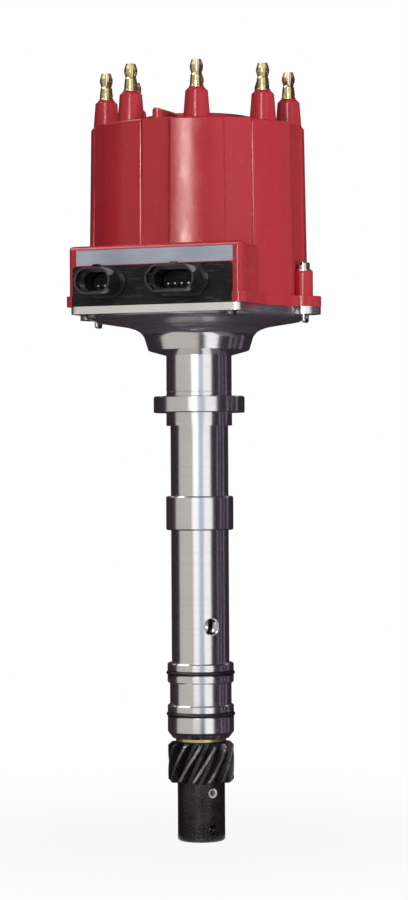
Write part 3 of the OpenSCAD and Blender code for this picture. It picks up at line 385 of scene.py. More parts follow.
@dataclass(frozen=True)
class HousingMetal(Finish):
    """The housing's aluminium: turned below the deck and milled round the deck's edge, with painted shade cast under
    it.
    """

    colour: Rgb = (0.88, 0.87, 0.88)
    stain: Rgb = (0.62, 0.60, 0.63)
    # Painted shade: the colour of the bell under the deck, as if in the deck's shadow, from the level below up to the
    # deck's underside.
    cast: Rgb = (0.34, 0.30, 0.36)
    deck_shade_from: float = 38.2 * MM
    deck_bottom: float = 46.4 * MM
    roughness: float = 0.15
    broad_lines: float = 700
    fine_lines: float = 4600
    cutter_lines: float = 2600
    line_height: float = 0.005 * MM
    stretch: float = 0.5

    def draw(self, shader: Shader) -> None:
        """Rings on turned faces, level cutter lines on the deck's edge, light handling marks and painted shade under
        the deck.

        Args:
            shader: The material.
        """
        broad, fine = shader.ring_lines(self.broad_lines, 5.0), shader.ring_lines(self.fine_lines, 2.0)
        on_deck = shader.above(shader.z, self.deck_bottom, 0.2 * MM)
        level_face = shader.above(shader.math("ABSOLUTE", shader.facing["Z"]), 0.5, 0.2)
        milled = shader.math("MULTIPLY", on_deck, shader.math("SUBTRACT", 1.0, level_face))
        lines = shader.mix(0.45, broad, fine)
        lines = shader.mix(milled, lines, shader.lines(shader.z, self.cutter_lines, 3.0, 0.6))
        bloom = shader.noise(24, 5.0, 0.62)
        shade = shader.math("ADD", shader.above(bloom, 0.58, 0.3, 0.3), shader.above(lines, 0.58, 0.22, 0.34))
        # Painted shade under the deck: the bell turns a darker plum-grey, less metallic and rougher, varied a little
        # by the bloom.
        under_deck_shade = shader.math("SUBTRACT", shader.above(shader.z, self.deck_shade_from, 0.5 * MM), on_deck, True)
        under_deck_shade = shader.math("MULTIPLY", under_deck_shade, shader.remap(bloom, 0.3, 0.7, 0.82, 1.0))
        rough = shader.remap(lines, 0.3, 0.7, self.roughness - 0.05, self.roughness + 0.08)
        for mask, more in ((milled, 0.12), (under_deck_shade, 0.13)):
            rough = shader.math("ADD", rough, shader.math("MULTIPLY", mask, more))
        shader.set(Base_Color=shader.mix(under_deck_shade, shader.mix(shade, self.colour, self.stain), self.cast),
                   Metallic=shader.mix(under_deck_shade, 1.0, 0.8), Roughness=rough, Anisotropic=self.stretch,
                   Tangent=shader.radial_tangent(), Normal=shader.bump(lines, 0.6, self.line_height))


@dataclass(frozen=True)
class GlossMoulding(Finish):
    """Glossy filled plastic of the cap and rotor, with a painted sheen on one side."""

    colour: Rgb = (0.47, 0.022, 0.036)
    dark: Rgb = (0.38, 0.017, 0.028)
    # Painted sheen: faces turned towards the side angle below are lightened to this colour, standing in for the veil
    # of reflected light on that side.
    painted_sheen: Rgb = (0.49, 0.040, 0.054)
    sheen_side: float = 85.0
    roughness: float = 0.20
    refraction: float = 1.45
    peel_height: float = 0.03 * MM
    dust_height: float = 0.006 * MM

    def draw(self, shader: Shader) -> None:
        """Flow marks, a faint orange peel, dust in the gloss, a few rub marks and a painted sheen on one side.

        Args:
            shader: The material.
        """
        smudge = shader.noise(150, 4.0, 0.7, (1.0, 1.0, 0.5))
        flow = shader.noise(22, 4.0, 0.6, (1.0, 1.0, 0.45))
        peel = shader.noise(420, 2.0, 0.5)
        dust = shader.noise(1500, 2.0, 0.5)
        rubs = shader.above(shader.noise(210, 3.0, 0.7, (1.0, 1.0, 0.16)), 0.66, 0.12, 0.07)
        # Painted sheen: how far each face turns towards that side sets how much of the lighter colour it gets.
        side = math.radians(self.sheen_side)
        sheen_facing = shader.math("SUBTRACT", shader.math("MULTIPLY", shader.facing["X"], math.sin(side)),
                              shader.math("MULTIPLY", shader.facing["Y"], math.cos(side)))
        colour = shader.mix(shader.above(flow, 0.5, 0.5), self.colour, self.dark)
        rough = shader.remap(flow, 0.3, 0.7, self.roughness - 0.04, self.roughness + 0.07)
        for more in (rubs, shader.remap(smudge, 0.35, 0.65, -0.05, 0.07)):
            rough = shader.math("ADD", rough, more)
        normal = shader.bump(peel, 0.45, self.peel_height)
        shader.set(Base_Color=shader.mix(shader.above(sheen_facing, 0.86, 0.3), colour, self.painted_sheen),
                   Roughness=rough, IOR=self.refraction,
                   Normal=shader.bump(dust, 0.15, self.dust_height, Normal=normal))


@dataclass(frozen=True)
class BlackMoulding(Finish):
    """Black plastic of the module: fine-grained panel and smoother shrouds."""

    colour: Rgb = (0.006, 0.0055, 0.007)
    worn: Rgb = (0.022, 0.021, 0.024)
    speck: Rgb = (0.16, 0.16, 0.17)
    rub: Rgb = (0.10, 0.10, 0.11)
    shroud_from: float = -55.6 * MM
    roughness: float = 0.44
    shroud_roughness: float = 0.13
    grain_height: float = 0.018 * MM

    def draw(self, shader: Shader) -> None:
        """Spark-eroded grain on the panel, polished shrouds, pale dust specks and rub marks.

        Args:
            shader: The material.
        """
        grain = shader.noise(2300, 3.0, 0.6)
        cloud = shader.above(shader.noise(70, 4.0, 0.6), 0.52, 0.3, 0.35)
        specks = shader.above(shader.noise(900, 2.0, 0.6), 0.72, 0.05, 0.35)
        rubs = shader.above(shader.noise(800, 4.0, 0.7, (0.12, 1.0, 1.0)), 0.6, 0.1, 0.3)
        polished = shader.above(shader.math("MULTIPLY", shader.y, -1.0), -self.shroud_from, 1.0 * MM)
        colour = self.colour
        for mask, tone in ((cloud, self.worn), (specks, self.speck), (rubs, self.rub)):
            colour = shader.mix(mask, colour, tone)
        rough = shader.math("ADD", shader.mix(polished, self.roughness, self.shroud_roughness),
                            shader.remap(grain, 0.3, 0.7, -0.05, 0.07))
        shader.set(Base_Color=colour, Roughness=rough, IOR=shader.mix(polished, 1.5, 1.85),
                   Specular_IOR_Level=shader.mix(polished, 0.16, 0.5),
                   Normal=shader.bump(grain, 0.5, self.grain_height))


@dataclass(frozen=True)
class FormedBrass(Finish):
    """Bright brass sheet, drawn and crimped."""

    colour: Rgb = (0.74, 0.63, 0.35)
    tarnish: Rgb = (0.38, 0.30, 0.13)
    dent_height: float = 0.03 * MM
    line_height: float = 0.006 * MM

    def draw(self, shader: Shader) -> None:
        """Drawing lines, tarnish in clouds and small dents.

        Args:
            shader: The material.
        """
        draw_lines = shader.noise(2600, 3.0, 0.6, (1.0, 1.0, 0.06))
        cloud = shader.noise(230, 4.0, 0.6)
        dents = shader.bump(shader.noise(900, 2.0, 0.5), 0.4, self.dent_height)
        shader.set(Base_Color=shader.mix(shader.above(cloud, 0.55, 0.25, 0.6), self.colour, self.tarnish),
                   Metallic=1.0, Roughness=shader.remap(cloud, 0.3, 0.7, 0.14, 0.34),
                   Normal=shader.bump(draw_lines, 0.3, self.line_height, Normal=dents))


@dataclass(frozen=True)
class BlackOxide(Finish):
    """Black oxide on the cast gear, rubbed bright on the teeth's tips."""

    black: Rgb = (0.016, 0.013, 0.016)
    grey: Rgb = (0.042, 0.036, 0.042)
    bright: Rgb = (0.40, 0.38, 0.38)
    tip_radius: float = 16.1 * MM
    rubbed_depth: float = 0.25 * MM
    ragged_by: float = 0.45 * MM

    def draw(self, shader: Shader) -> None:
        """Dark oxide with bright tips, scuffs and glints, over grit and turned lines.

        Args:
            shader: The material.
        """
        ragged = shader.noise(700, 4.0, 0.65)
        wander = shader.remap(ragged, 0.2, 0.8, -self.ragged_by, self.ragged_by)
        reach = shader.math("ADD", shader.radius(), wander)
        tips = shader.above(reach, self.tip_radius - self.rubbed_depth, 0.35 * MM)
        patches = shader.remap(shader.noise(1300, 3.0, 0.7), 0.35, 0.62, 0.15, 1.0)
        scuffs = shader.above(shader.noise(420, 5.0, 0.75, (1.0, 1.0, 3.0)), 0.68, 0.05, 0.5)
        glints = shader.above(shader.noise(3400, 2.0, 0.6), 0.60, 0.06, 0.45)
        worn = shader.math("MAXIMUM", shader.math("MULTIPLY", tips, patches), scuffs)
        worn = shader.math("MAXIMUM", worn, glints)
        cloud = shader.noise(90, 4.0, 0.6)
        dark = shader.mix(shader.above(cloud, 0.5, 0.4), self.black, self.grey)
        normal = shader.bump(shader.ring_lines(3800, 3.0), 0.4, 0.008 * MM)
        normal = shader.bump(ragged, 0.3, 0.02 * MM, Normal=normal)
        shader.set(Base_Color=shader.mix(worn, dark, self.bright), Metallic=shader.mix(worn, 0.75, 1.0),
                   Roughness=shader.mix(worn, shader.remap(cloud, 0.3, 0.7, 0.26, 0.42), 0.3),
                   Normal=shader.bump(shader.noise(2400, 2.0, 0.8), 0.85, 0.024 * MM, Normal=normal))


@dataclass(frozen=True)
class Plating(Finish):
    """Plated or plain steel of small hardware."""

    colour: Rgb = (0.74, 0.73, 0.70)
    stain: Rgb = (0.45, 0.43, 0.40)
    roughness: float = 0.24
    pit_depth: float = 0.012 * MM

    def draw(self, shader: Shader) -> None:
        """Cloudy plating with fine pits.

        Args:
            shader: The material.
        """
        cloud = shader.noise(240, 5.0, 0.65)
        shader.set(Base_Color=shader.mix(shader.above(cloud, 0.52, 0.3, 0.7), self.colour, self.stain),
                   Roughness=shader.remap(cloud, 0.3, 0.7, self.roughness - 0.07, self.roughness + 0.12), Metallic=1.0,
                   Normal=shader.bump(shader.noise(1900, 2.0, 0.5), 0.4, self.pit_depth))


@dataclass(frozen=True)
class Mineral(Finish):
    """Rubber, ferrite, carbon and other dull bodies."""

    colour: Rgb = (0.02, 0.02, 0.02)
    pale: Rgb = (0.06, 0.06, 0.06)
    roughness: float = 0.5
    grain_per_metre: float = 1600.0
    grain_height: float = 0.015 * MM

    def draw(self, shader: Shader) -> None:
        """A clouded body colour with fine grain.

        Args:
            shader: The material.
        """
        cloud = shader.noise(130, 4.0, 0.6)
        shader.set(Base_Color=shader.mix(shader.above(cloud, 0.52, 0.35), self.colour, self.pale),
                   Roughness=shader.remap(cloud, 0.3, 0.7, self.roughness - 0.1, self.roughness + 0.1),
                   Normal=shader.bump(shader.noise(self.grain_per_metre, 3.0, 0.6), 0.4, self.grain_height))


@dataclass(frozen=True)
class SatinFilm(Finish):
    """The bare label: a satin grey-blue metal film."""

    colour: Rgb = (0.3050, 0.3372, 0.4125)
    pale: Rgb = (0.4564, 0.4910, 0.5647)
    brushed_height: float = 0.004 * MM

    def draw(self, shader: Shader) -> None:
        """Brushed lines along the strip and a slow change of tone.

        Args:
            shader: The material.
        """
        brushed = shader.noise(5200, 2.0, 0.6, (0.02, 1.0, 1.0))
        cloud = shader.noise(42, 3.0, 0.5)
        tone = shader.mix(0.65, brushed, cloud)
        shader.set(Base_Color=shader.mix(shader.above(tone, 0.5, 0.4), self.colour, self.pale), Metallic=0.35,
                   Roughness=shader.remap(brushed, 0.3, 0.7, 0.3, 0.42),
                   Normal=shader.bump(brushed, 0.25, self.brushed_height))


HOUSING_METAL = HousingMetal("housing_metal")
BILLET = TurnedMetal("billet_metal", colour=(0.80, 0.80, 0.83))
GROUND_STEEL = TurnedMetal("ground_steel", colour=(0.62, 0.62, 0.63), stain=(0.40, 0.39, 0.39), roughness=0.2)
RED_MOULDING = GlossMoulding("red_moulding")
BLACK_MOULDING = BlackMoulding("black_moulding")
BRASS = FormedBrass("terminal_brass")
OXIDE = BlackOxide("black_oxide")
ZINC = Plating("zinc_plating")
DULL_STEEL = Plating("dull_steel", colour=(0.20, 0.18, 0.21), stain=(0.09, 0.08, 0.10), roughness=0.32)
SPRING_STEEL = Plating("spring_steel", colour=(0.52, 0.52, 0.53), roughness=0.3)
BRONZE = TurnedMetal("sintered_bronze", colour=(0.78, 0.64, 0.36), stain=(0.44, 0.32, 0.16), roughness=0.26)
SEAL_RUBBER = Mineral("seal_rubber", colour=(0.005, 0.005, 0.005), pale=(0.012, 0.012, 0.012), roughness=0.42)
PIN_STEEL = Mineral("pin_steel", colour=(0.36, 0.36, 0.34), pale=(0.62, 0.62, 0.58), roughness=0.3)
FERRITE = Mineral("ferrite", colour=(0.05, 0.05, 0.055), pale=(0.09, 0.09, 0.095), roughness=0.55)
CARBON = Mineral("carbon", colour=(0.03, 0.03, 0.032), pale=(0.06, 0.06, 0.062), roughness=0.38)
WINDING = Mineral("winding", colour=(0.03, 0.022, 0.02), pale=(0.10, 0.05, 0.03), roughness=0.4)
LACQUER = Mineral("board_lacquer", colour=(0.01, 0.09, 0.045), pale=(0.02, 0.14, 0.07), roughness=0.3)
WIRE_COVER = Mineral("wire_cover", colour=(0.02, 0.12, 0.06), pale=(0.03, 0.17, 0.09), roughness=0.36)
FILM = SatinFilm("label_film")


def alone(piece: Piece) -> None:
    """Selects one object and nothing else, and makes it the active one.

    Args:
        piece: The object.
    """
    bpy.ops.object.select_all(action="DESELECT")
    piece.select_set(True)
    bpy.context.view_layer.objects.active = piece


def paint(piece: Piece, finish: Finish) -> None:
    """Gives a whole piece one finish.

    Args:
        piece: The piece.
        finish: The finish.
    """
    piece.data.materials.clear()
    piece.data.materials.append(finish.material())


def bevel_edges(piece: Piece, width: float, angle: float = 30.0, steps: int = 2) -> None:
    """Rounds every edge sharper than an angle, and shades the piece smooth.

    Args:
        piece: The piece.
        width: How far the rounding reaches from an edge.
        angle: The least angle of an edge that is rounded, in degrees.
        steps: Faces across the rounding.
    """
    alone(piece)
    rounding = piece.modifiers.new("rounding", "BEVEL")
    rounding.width = width
    rounding.segments = steps
    rounding.limit_method = "ANGLE"
    rounding.angle_limit = math.radians(angle)
    rounding.miter_outer = "MITER_ARC"
    rounding.use_clamp_overlap = True
    bpy.ops.object.modifier_apply(modifier=rounding.name)
    bpy.ops.object.shade_smooth_by_angle(angle=math.radians(SMOOTH_BELOW))
    even = piece.modifiers.new("even_faces", "WEIGHTED_NORMAL")
    even.keep_sharp = True
    bpy.ops.object.modifier_apply(modifier=even.name)


def joined_copy(node: str, name: str) -> Piece:
    """A copy of a CAD node with its triangles joined up into whole faces, which stands for the node.

    Args:
        node: The CAD node.
        name: The copy's name.

    Returns:
        The copy.
    """
    source = bpy.data.objects[node]
    piece = bpy.data.objects.new(name, source.data.copy())
    bpy.context.scene.collection.objects.link(piece)
    alone(piece)
    if piece.data.has_custom_normals:
        bpy.ops.mesh.customdata_custom_splitnormals_clear()
    bpy.ops.object.mode_set(mode="EDIT")
    bpy.ops.mesh.select_all(action="SELECT")
    bpy.ops.mesh.remove_doubles(threshold=JOINED_WITHIN)
    bpy.ops.mesh.dissolve_limited(angle_limit=math.radians(FLAT_BELOW))
    bpy.ops.mesh.select_all(action="SELECT")
    bpy.ops.mesh.mark_sharp(clear=True)
    bpy.ops.object.mode_set(mode="OBJECT")
    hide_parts(node)
    return piece


def round_some(piece: Piece, wanted: Callable[[Vector, Vector, float], bool], width: float, steps: int,
               clamp: bool) -> None:
    """Rounds the edges that a test picks.

    Args:
        piece: The piece.
        wanted: The test. It gets an edge's two ends and the bend between its faces in degrees.
        width: How far the rounding reaches from an edge.
        steps: Faces across the rounding.
        clamp: Whether the rounding stops short of other edges.
    """
    alone(piece)
    bpy.ops.object.mode_set(mode="EDIT")
    bpy.ops.mesh.select_mode(type="EDGE")
    bpy.ops.mesh.select_all(action="DESELECT")
    bpy.ops.object.mode_set(mode="OBJECT")
    mesh = piece.data
    sides: dict[int, list[Vector]] = {}
    for face in mesh.polygons:
        for corner in face.loop_indices:
            sides.setdefault(mesh.loops[corner].edge_index, []).append(face.normal)
    for edge in mesh.edges:
        first, second = (mesh.vertices[index].co for index in edge.vertices)
        bend = math.degrees(sides[edge.index][0].angle(sides[edge.index][-1]))
        edge.select = wanted(first, second, bend)
    LOG.info("%s: %d edges rounded by themselves", piece.name, sum(edge.select for edge in mesh.edges))
    bpy.ops.object.mode_set(mode="EDIT")
    bpy.ops.mesh.bevel(offset=width, segments=steps, clamp_overlap=clamp)
    bpy.ops.mesh.select_mode(type="VERT")
    bpy.ops.object.mode_set(mode="OBJECT")


@dataclass
class Assembly:
    """A group of pieces that is built and dressed together."""

    body: str = "housing"

    def keep(self, piece: Piece, finish: Finish, slot: str) -> None:
        """Paints a finished piece and lets it ride on this assembly's body.

        Args:
            piece: The piece, at its place.
            finish: Its finish.
            slot: The record's material slot. It is not used.
        """
        paint(piece, finish)
        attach(piece, self.body)
        LOG.info("piece %s: %d faces", piece.name, len(piece.data.polygons))

    def stretch_spring(self, node: str, moving_body: str, still: float, moved: float) -> None:
        """Makes a copy of a spring in spring steel, shaded smooth, fixed where it stands.

        Args:
            node: The CAD node of the spring.
            moving_body: The body that the moving end follows. It is not used.
            still: Level of the end that stays. It is not used.
            moved: Level of the end that moves. It is not used.
        """
        coil = joined_copy(node, f"{node}_coil")
        bpy.ops.object.shade_smooth_by_angle(angle=math.radians(WIRE_SMOOTH_BELOW))
        paint(coil, SPRING_STEEL)
        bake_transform(coil)
        LOG.info("spring %s: %d faces", coil.name, len(coil.data.polygons))

    def dress(self, finishes: dict[str, Finish]) -> None:
        """Gives CAD nodes that are shown as they are their finishes.

        Args:
            finishes: The finish of each node.
        """
        for node, finish in finishes.items():
            paint(bpy.data.objects[node], finish)
            LOG.info("node %s: %s", node, finish.name)


@dataclass
class Housing(Assembly):
    """The turned and milled housing with its seals, bushing and bearing.

    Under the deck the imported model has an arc, given by its middle, radius and end. The bell's points
    replace it. Each point is a distance from the axis and a level.
    """

    edge: float = 0.18 * MM
    sweep_middle: tuple[float, float] = (35.1 * MM, 29.3 * MM)
    sweep_radius: float = 10.5 * MM
    sweep_end: tuple[float, float] = (32.276 * MM, 39.413 * MM)
    sweep_angles: tuple[float, float] = (105.0, 174.0)
    sweep_step: float = 5.7
    rim: tuple[float, float] = (49.6 * MM, 44.2 * MM)
    bell: tuple[tuple[float, float], ...] = (
        (24.66 * MM, 30.4 * MM), (26.65 * MM, 36.8 * MM), (27.35 * MM, 37.9 * MM), (28.6 * MM, 39.2 * MM),
        (30.4 * MM, 40.3 * MM), (32.7 * MM, 41.15 * MM), (35.4 * MM, 41.9 * MM))
    bell_steps: tuple[float, ...] = (0.0, 7.0, 8.0, 9.0, 10.0, 11.0, 12.0)

    def along_sweep(self, radius: float, level: float, within: float = 0.04 * MM) -> float:
        """How far along the hollow sweep under the deck a place lies.

        Args:
            radius: The place's distance from the axis.
            level: Its level.
            within: How far from the surface still counts.

        Returns:
            0 to 12 round the sweep, on to 13 at the rim, and -1 away from both.
        """
        across, up = radius - self.sweep_middle[0], level - self.sweep_middle[1]
        angle = math.degrees(math.atan2(up, across))
        least, most = self.sweep_angles
        if abs(math.hypot(across, up) - self.sweep_radius) < within and least < angle < most + 0.6:
            return (most - angle) / self.sweep_step
        share = (radius - self.sweep_end[0]) / (self.rim[0] - self.sweep_end[0])
        straight = self.sweep_end[1] + share * (self.rim[1] - self.sweep_end[1])
        return 12.0 + share if 0.0 < share < 1.0 and abs(level - straight) < within else -1.0

    def straighten_bell(self, piece: Piece) -> None:
        """Gives the bell the straight cone, tight crease and flatter underside that the photograph shows.

        Args:
            piece: The copy of the housing.
        """
        marks, points = (*self.bell_steps, 13.0), (*self.bell, self.rim)
        moved = 0
        for vertex in piece.data.vertices:
            radius = math.hypot(vertex.co.x, vertex.co.y)
            place = self.along_sweep(radius, vertex.co.z)
            if place < 0.0:
                continue
            index = min(sum(place >= mark for mark in marks[1:]), len(marks) - 2)
            share = (place - marks[index]) / (marks[index + 1] - marks[index])
            first, second = points[index], points[index + 1]
            reach = first[0] + share * (second[0] - first[0])
            vertex.co.x, vertex.co.y = vertex.co.x * reach / radius, vertex.co.y * reach / radius
            vertex.co.z = first[1] + share * (second[1] - first[1])
            moved += 1
        LOG.info("bell vertices moved: %d", moved)

    def build(self) -> None:
        """Rounds the housing's edges and dresses what it holds."""
        turned = joined_copy("housing", "housing_turned")
        self.straighten_bell(turned)
        bevel_edges(turned, self.edge)
        self.keep(turned, HOUSING_METAL, "cast_aluminium")
        self.dress({
            "lower_bushing": BRONZE, "upper_seal": SEAL_RUBBER, "lower_seal": SEAL_RUBBER,
            "bearing_outer_race": GROUND_STEEL, "bearing_inner_race": GROUND_STEEL, "bearing_cage": BRONZE,
            "bearing_balls": GROUND_STEEL, "snap_ring": SPRING_STEEL,
        })


@dataclass
class Drive(Assembly):
    """The shaft, its washers, the gear and the roll pin."""

    body: str = "shaft"
    edge: float = 0.22 * MM
    edge_angle: float = 35.0

    def build(self) -> None:
        """Rounds the gear's edges and dresses the rest."""
        gear = joined_copy("drive_gear", "drive_gear_worn")
        bevel_edges(gear, self.edge, self.edge_angle)
        self.keep(gear, OXIDE, "black_oxide")
        self.dress({
            # Painted shade: the gear shim gets the dark oxide finish for the shadow under the thrust washer.
            "main_shaft": GROUND_STEEL, "thrust_washer": BRONZE, "gear_shim": OXIDE, "roll_pin": PIN_STEEL,
        })


@dataclass
class Pickup(Assembly):
    """The magnetic pickup under the cap and the toothed wheel on the shaft."""

    def build(self) -> None:
        """Dresses the pickup's nodes."""
        self.dress({
            "pickup_base": ZINC, "pickup_magnet": FERRITE, "pickup_coil": WINDING, "pole_piece": ZINC,
            "pickup_screws": ZINC, "pickup_lead": WIRE_COVER, "reluctor": GROUND_STEEL,
        })


@dataclass
class Rotor(Assembly):
    """The rotor on its billet mount."""

    body: str = "shaft"

    def build(self) -> None:
        """Dresses the rotor's nodes."""
        self.dress({
            "rotor_mount": BILLET, "rotor": RED_MOULDING, "rotor_blade": BRASS, "rotor_screws": ZINC,
        })


@dataclass
class Cap(Assembly):
    """The cap with its towers, terminals and electrodes.

    The foot and the top are where the drum's drafted columns begin and end.
    """

    edge: float = 0.35 * MM
    edge_angle: float = 24.0
    edge_steps: int = 3
    column_edge: float = 1.35 * MM
    column_steps: int = 5
    column_bend: float = 20.0
    foot_radius: float = 53.3 * MM
    top_radius: float = 51.9 * MM
    foot_level: float = 50.0 * MM
    top_level: float = 136.8 * MM
    brush_end: float = 116.4 * MM
    brush_seat: float = 130.0 * MM

    def on_drum(self, place: Vector, within: float = 0.35 * MM) -> bool:
        """Whether a place lies on the outer surface of the drum's columns.

        Args:
            place: The place.
            within: How far from the surface still counts.

        Returns:
            True on the surface, between the flange and the roof's rounding.
        """
        rise = (place.z - self.foot_level) / (self.top_level - self.foot_level)
        surface = self.foot_radius + (self.top_radius - self.foot_radius) * rise
        return -0.01 < rise < 1.005 and abs(math.hypot(place.x, place.y) - surface) < within

    def is_column_edge(self, first: Vector, second: Vector, bend: float) -> bool:
        """Whether an edge is one of the columns' long edges.

        Args:
            first: The edge's one end.
            second: Its other end.
            bend: The angle between its faces in degrees.

        Returns:
            True for a column's edge.
        """
        upright = abs(first.z - second.z) > NEARLY_ALONG * (first - second).length
        return upright and bend > self.column_bend and self.on_drum(first) and self.on_drum(second)

    def smooth_columns(self, piece: Piece, within: float = 0.12 * MM) -> None:
        """Shades the columns' faces as the true cone that they lie on.

        Args:
            piece: The copy of the cap.
            within: How far from the cone a face's corners may lie.
        """
        mesh = piece.data
        slope = math.atan((self.foot_radius - self.top_radius) / (self.top_level - self.foot_level))
        normals = [corner.vector.copy() for corner in mesh.corner_normals]
        for face in mesh.polygons:
            places = [mesh.vertices[index].co for index in face.vertices]
            if not all(self.on_drum(place, within) for place in places):
                continue
            for corner, place in zip(face.loop_indices, places):
                outward = Vector((place.x, place.y, 0.0)).normalized() * math.cos(slope)
                normals[corner] = outward + Vector((0.0, 0.0, math.sin(slope)))
        mesh.normals_split_custom_set(normals)

    def build(self) -> None:
        """Rounds the cap's edges and dresses its metal."""
        moulding = joined_copy("cap", "cap_moulding")
        round_some(moulding, self.is_column_edge, self.column_edge, self.column_steps, False)
        bevel_edges(moulding, self.edge, self.edge_angle, self.edge_steps)
        self.smooth_columns(moulding)
        self.keep(moulding, RED_MOULDING, "red_moulding")
        self.dress({
            "electrodes": BILLET, "carbon_brush": CARBON, "tower_terminals": BRASS, "centre_terminal": BRASS,
        })
        self.stretch_spring("brush_spring", "brush", self.brush_seat, self.brush_end)


@dataclass
class Module(Assembly):
    """The module with its sockets, pins and label.

    The middle, level and reaches are those of the four-way shroud's outer faces.
    """

    edge: float = 0.25 * MM
    shroud_edge: float = 1.85 * MM
    shroud_steps: int = 4
    shroud_bends: tuple[float, float] = (25.0, 70.0)
    shroud_middle: float = 15 * MM
    shroud_level: float = 61.0 * MM
    reach_across: float = 12.4 * MM
    reach_up: float = 6.4 * MM
    panel_front: float = -55.4 * MM

    def is_shroud_corner(self, first: Vector, second: Vector, bend: float) -> bool:
        """Whether an edge is an outer corner of the four-way shroud, between the panel and the mouth.

        Args:
            first: The edge's one end.
            second: Its other end.
            bend: The angle between its faces in degrees.

        Returns:
            True for a corner.
        """
        forward = abs(first.y - second.y) > NEARLY_ALONG * (first - second).length
        ahead = max(first.y, second.y) < self.panel_front + 0.6 * MM
        outside = abs(abs(first.z - self.shroud_level) - self.reach_up) < 0.2 * MM
        outside = outside or abs(abs(first.x - self.shroud_middle) - self.reach_across) < 0.1 * MM
        return forward and ahead and outside and self.shroud_bends[0] < bend < self.shroud_bends[1]

    def build(self) -> None:
        """Rounds the module's edges and dresses the rest."""
        case = joined_copy("module_case", "module_moulding")
        round_some(case, self.is_shroud_corner, self.shroud_edge, self.shroud_steps, True)
        bevel_edges(case, self.edge)
        self.keep(case, BLACK_MOULDING, "black_moulding")
        self.dress({
            "module_board": LACQUER, "two_way_pins": ZINC, "four_way_pins": ZINC, "module_screws": DULL_STEEL,
            "label_plate": FILM,
        })


@dataclass
class Latches(Assembly):
    """The two spring latches that hold the cap."""

    spring_foot: float = 57.0 * MM
    spring_top: float = 66.1 * MM

    def build(self) -> None:
        """Dresses the latches' nodes."""
        self.dress({"latch_washers": ZINC})
        for side in (one.value for one in Side):
            self.dress({f"{side}_latch_screw": ZINC, f"{side}_spring_seat": ZINC})
            self.stretch_spring(f"{side}_latch_spring", f"{side}_latch_press", self.spring_foot, self.spring_top)


@dataclass(frozen=True)
class Card:
    """A reflector card round the object, seen only in its gloss.

    It is a part of a ring: a wall where both radii are the same, and a flat sector where both levels are.
    Angles run to the right of the camera, as seen from the object.
    """

    name: str
    start: float
    end: float
    colour: Rgb
    low: float = -0.9
    high: float = 1.3
    inner: float = 2.1
    outer: float = 2.1


@dataclass(frozen=True)
class Lamp:
    """A soft box: an area lamp that points at the object."""

    name: str
    azimuth: float
    height: float
    distance: float
    width: float
    length: float
    watts: float
    colour: Rgb = (1.0, 1.0, 1.0)


WHITE: Rgb = (1.0, 1.0, 1.0)
DARK: Rgb = (0.030, 0.022, 0.030)
GREY: Rgb = (0.52, 0.49, 0.46)
BLUE: Rgb = (0.44, 0.50, 0.60)
PLUM: Rgb = (0.16, 0.13, 0.15)
LINE_LEFT: Rgb = (0.24, 0.22, 0.22)
LINE_A: Rgb = (0.26, 0.23, 0.30)
LINE_B: Rgb = (0.34, 0.31, 0.38)
LINE_C: Rgb = (0.30, 0.27, 0.32)


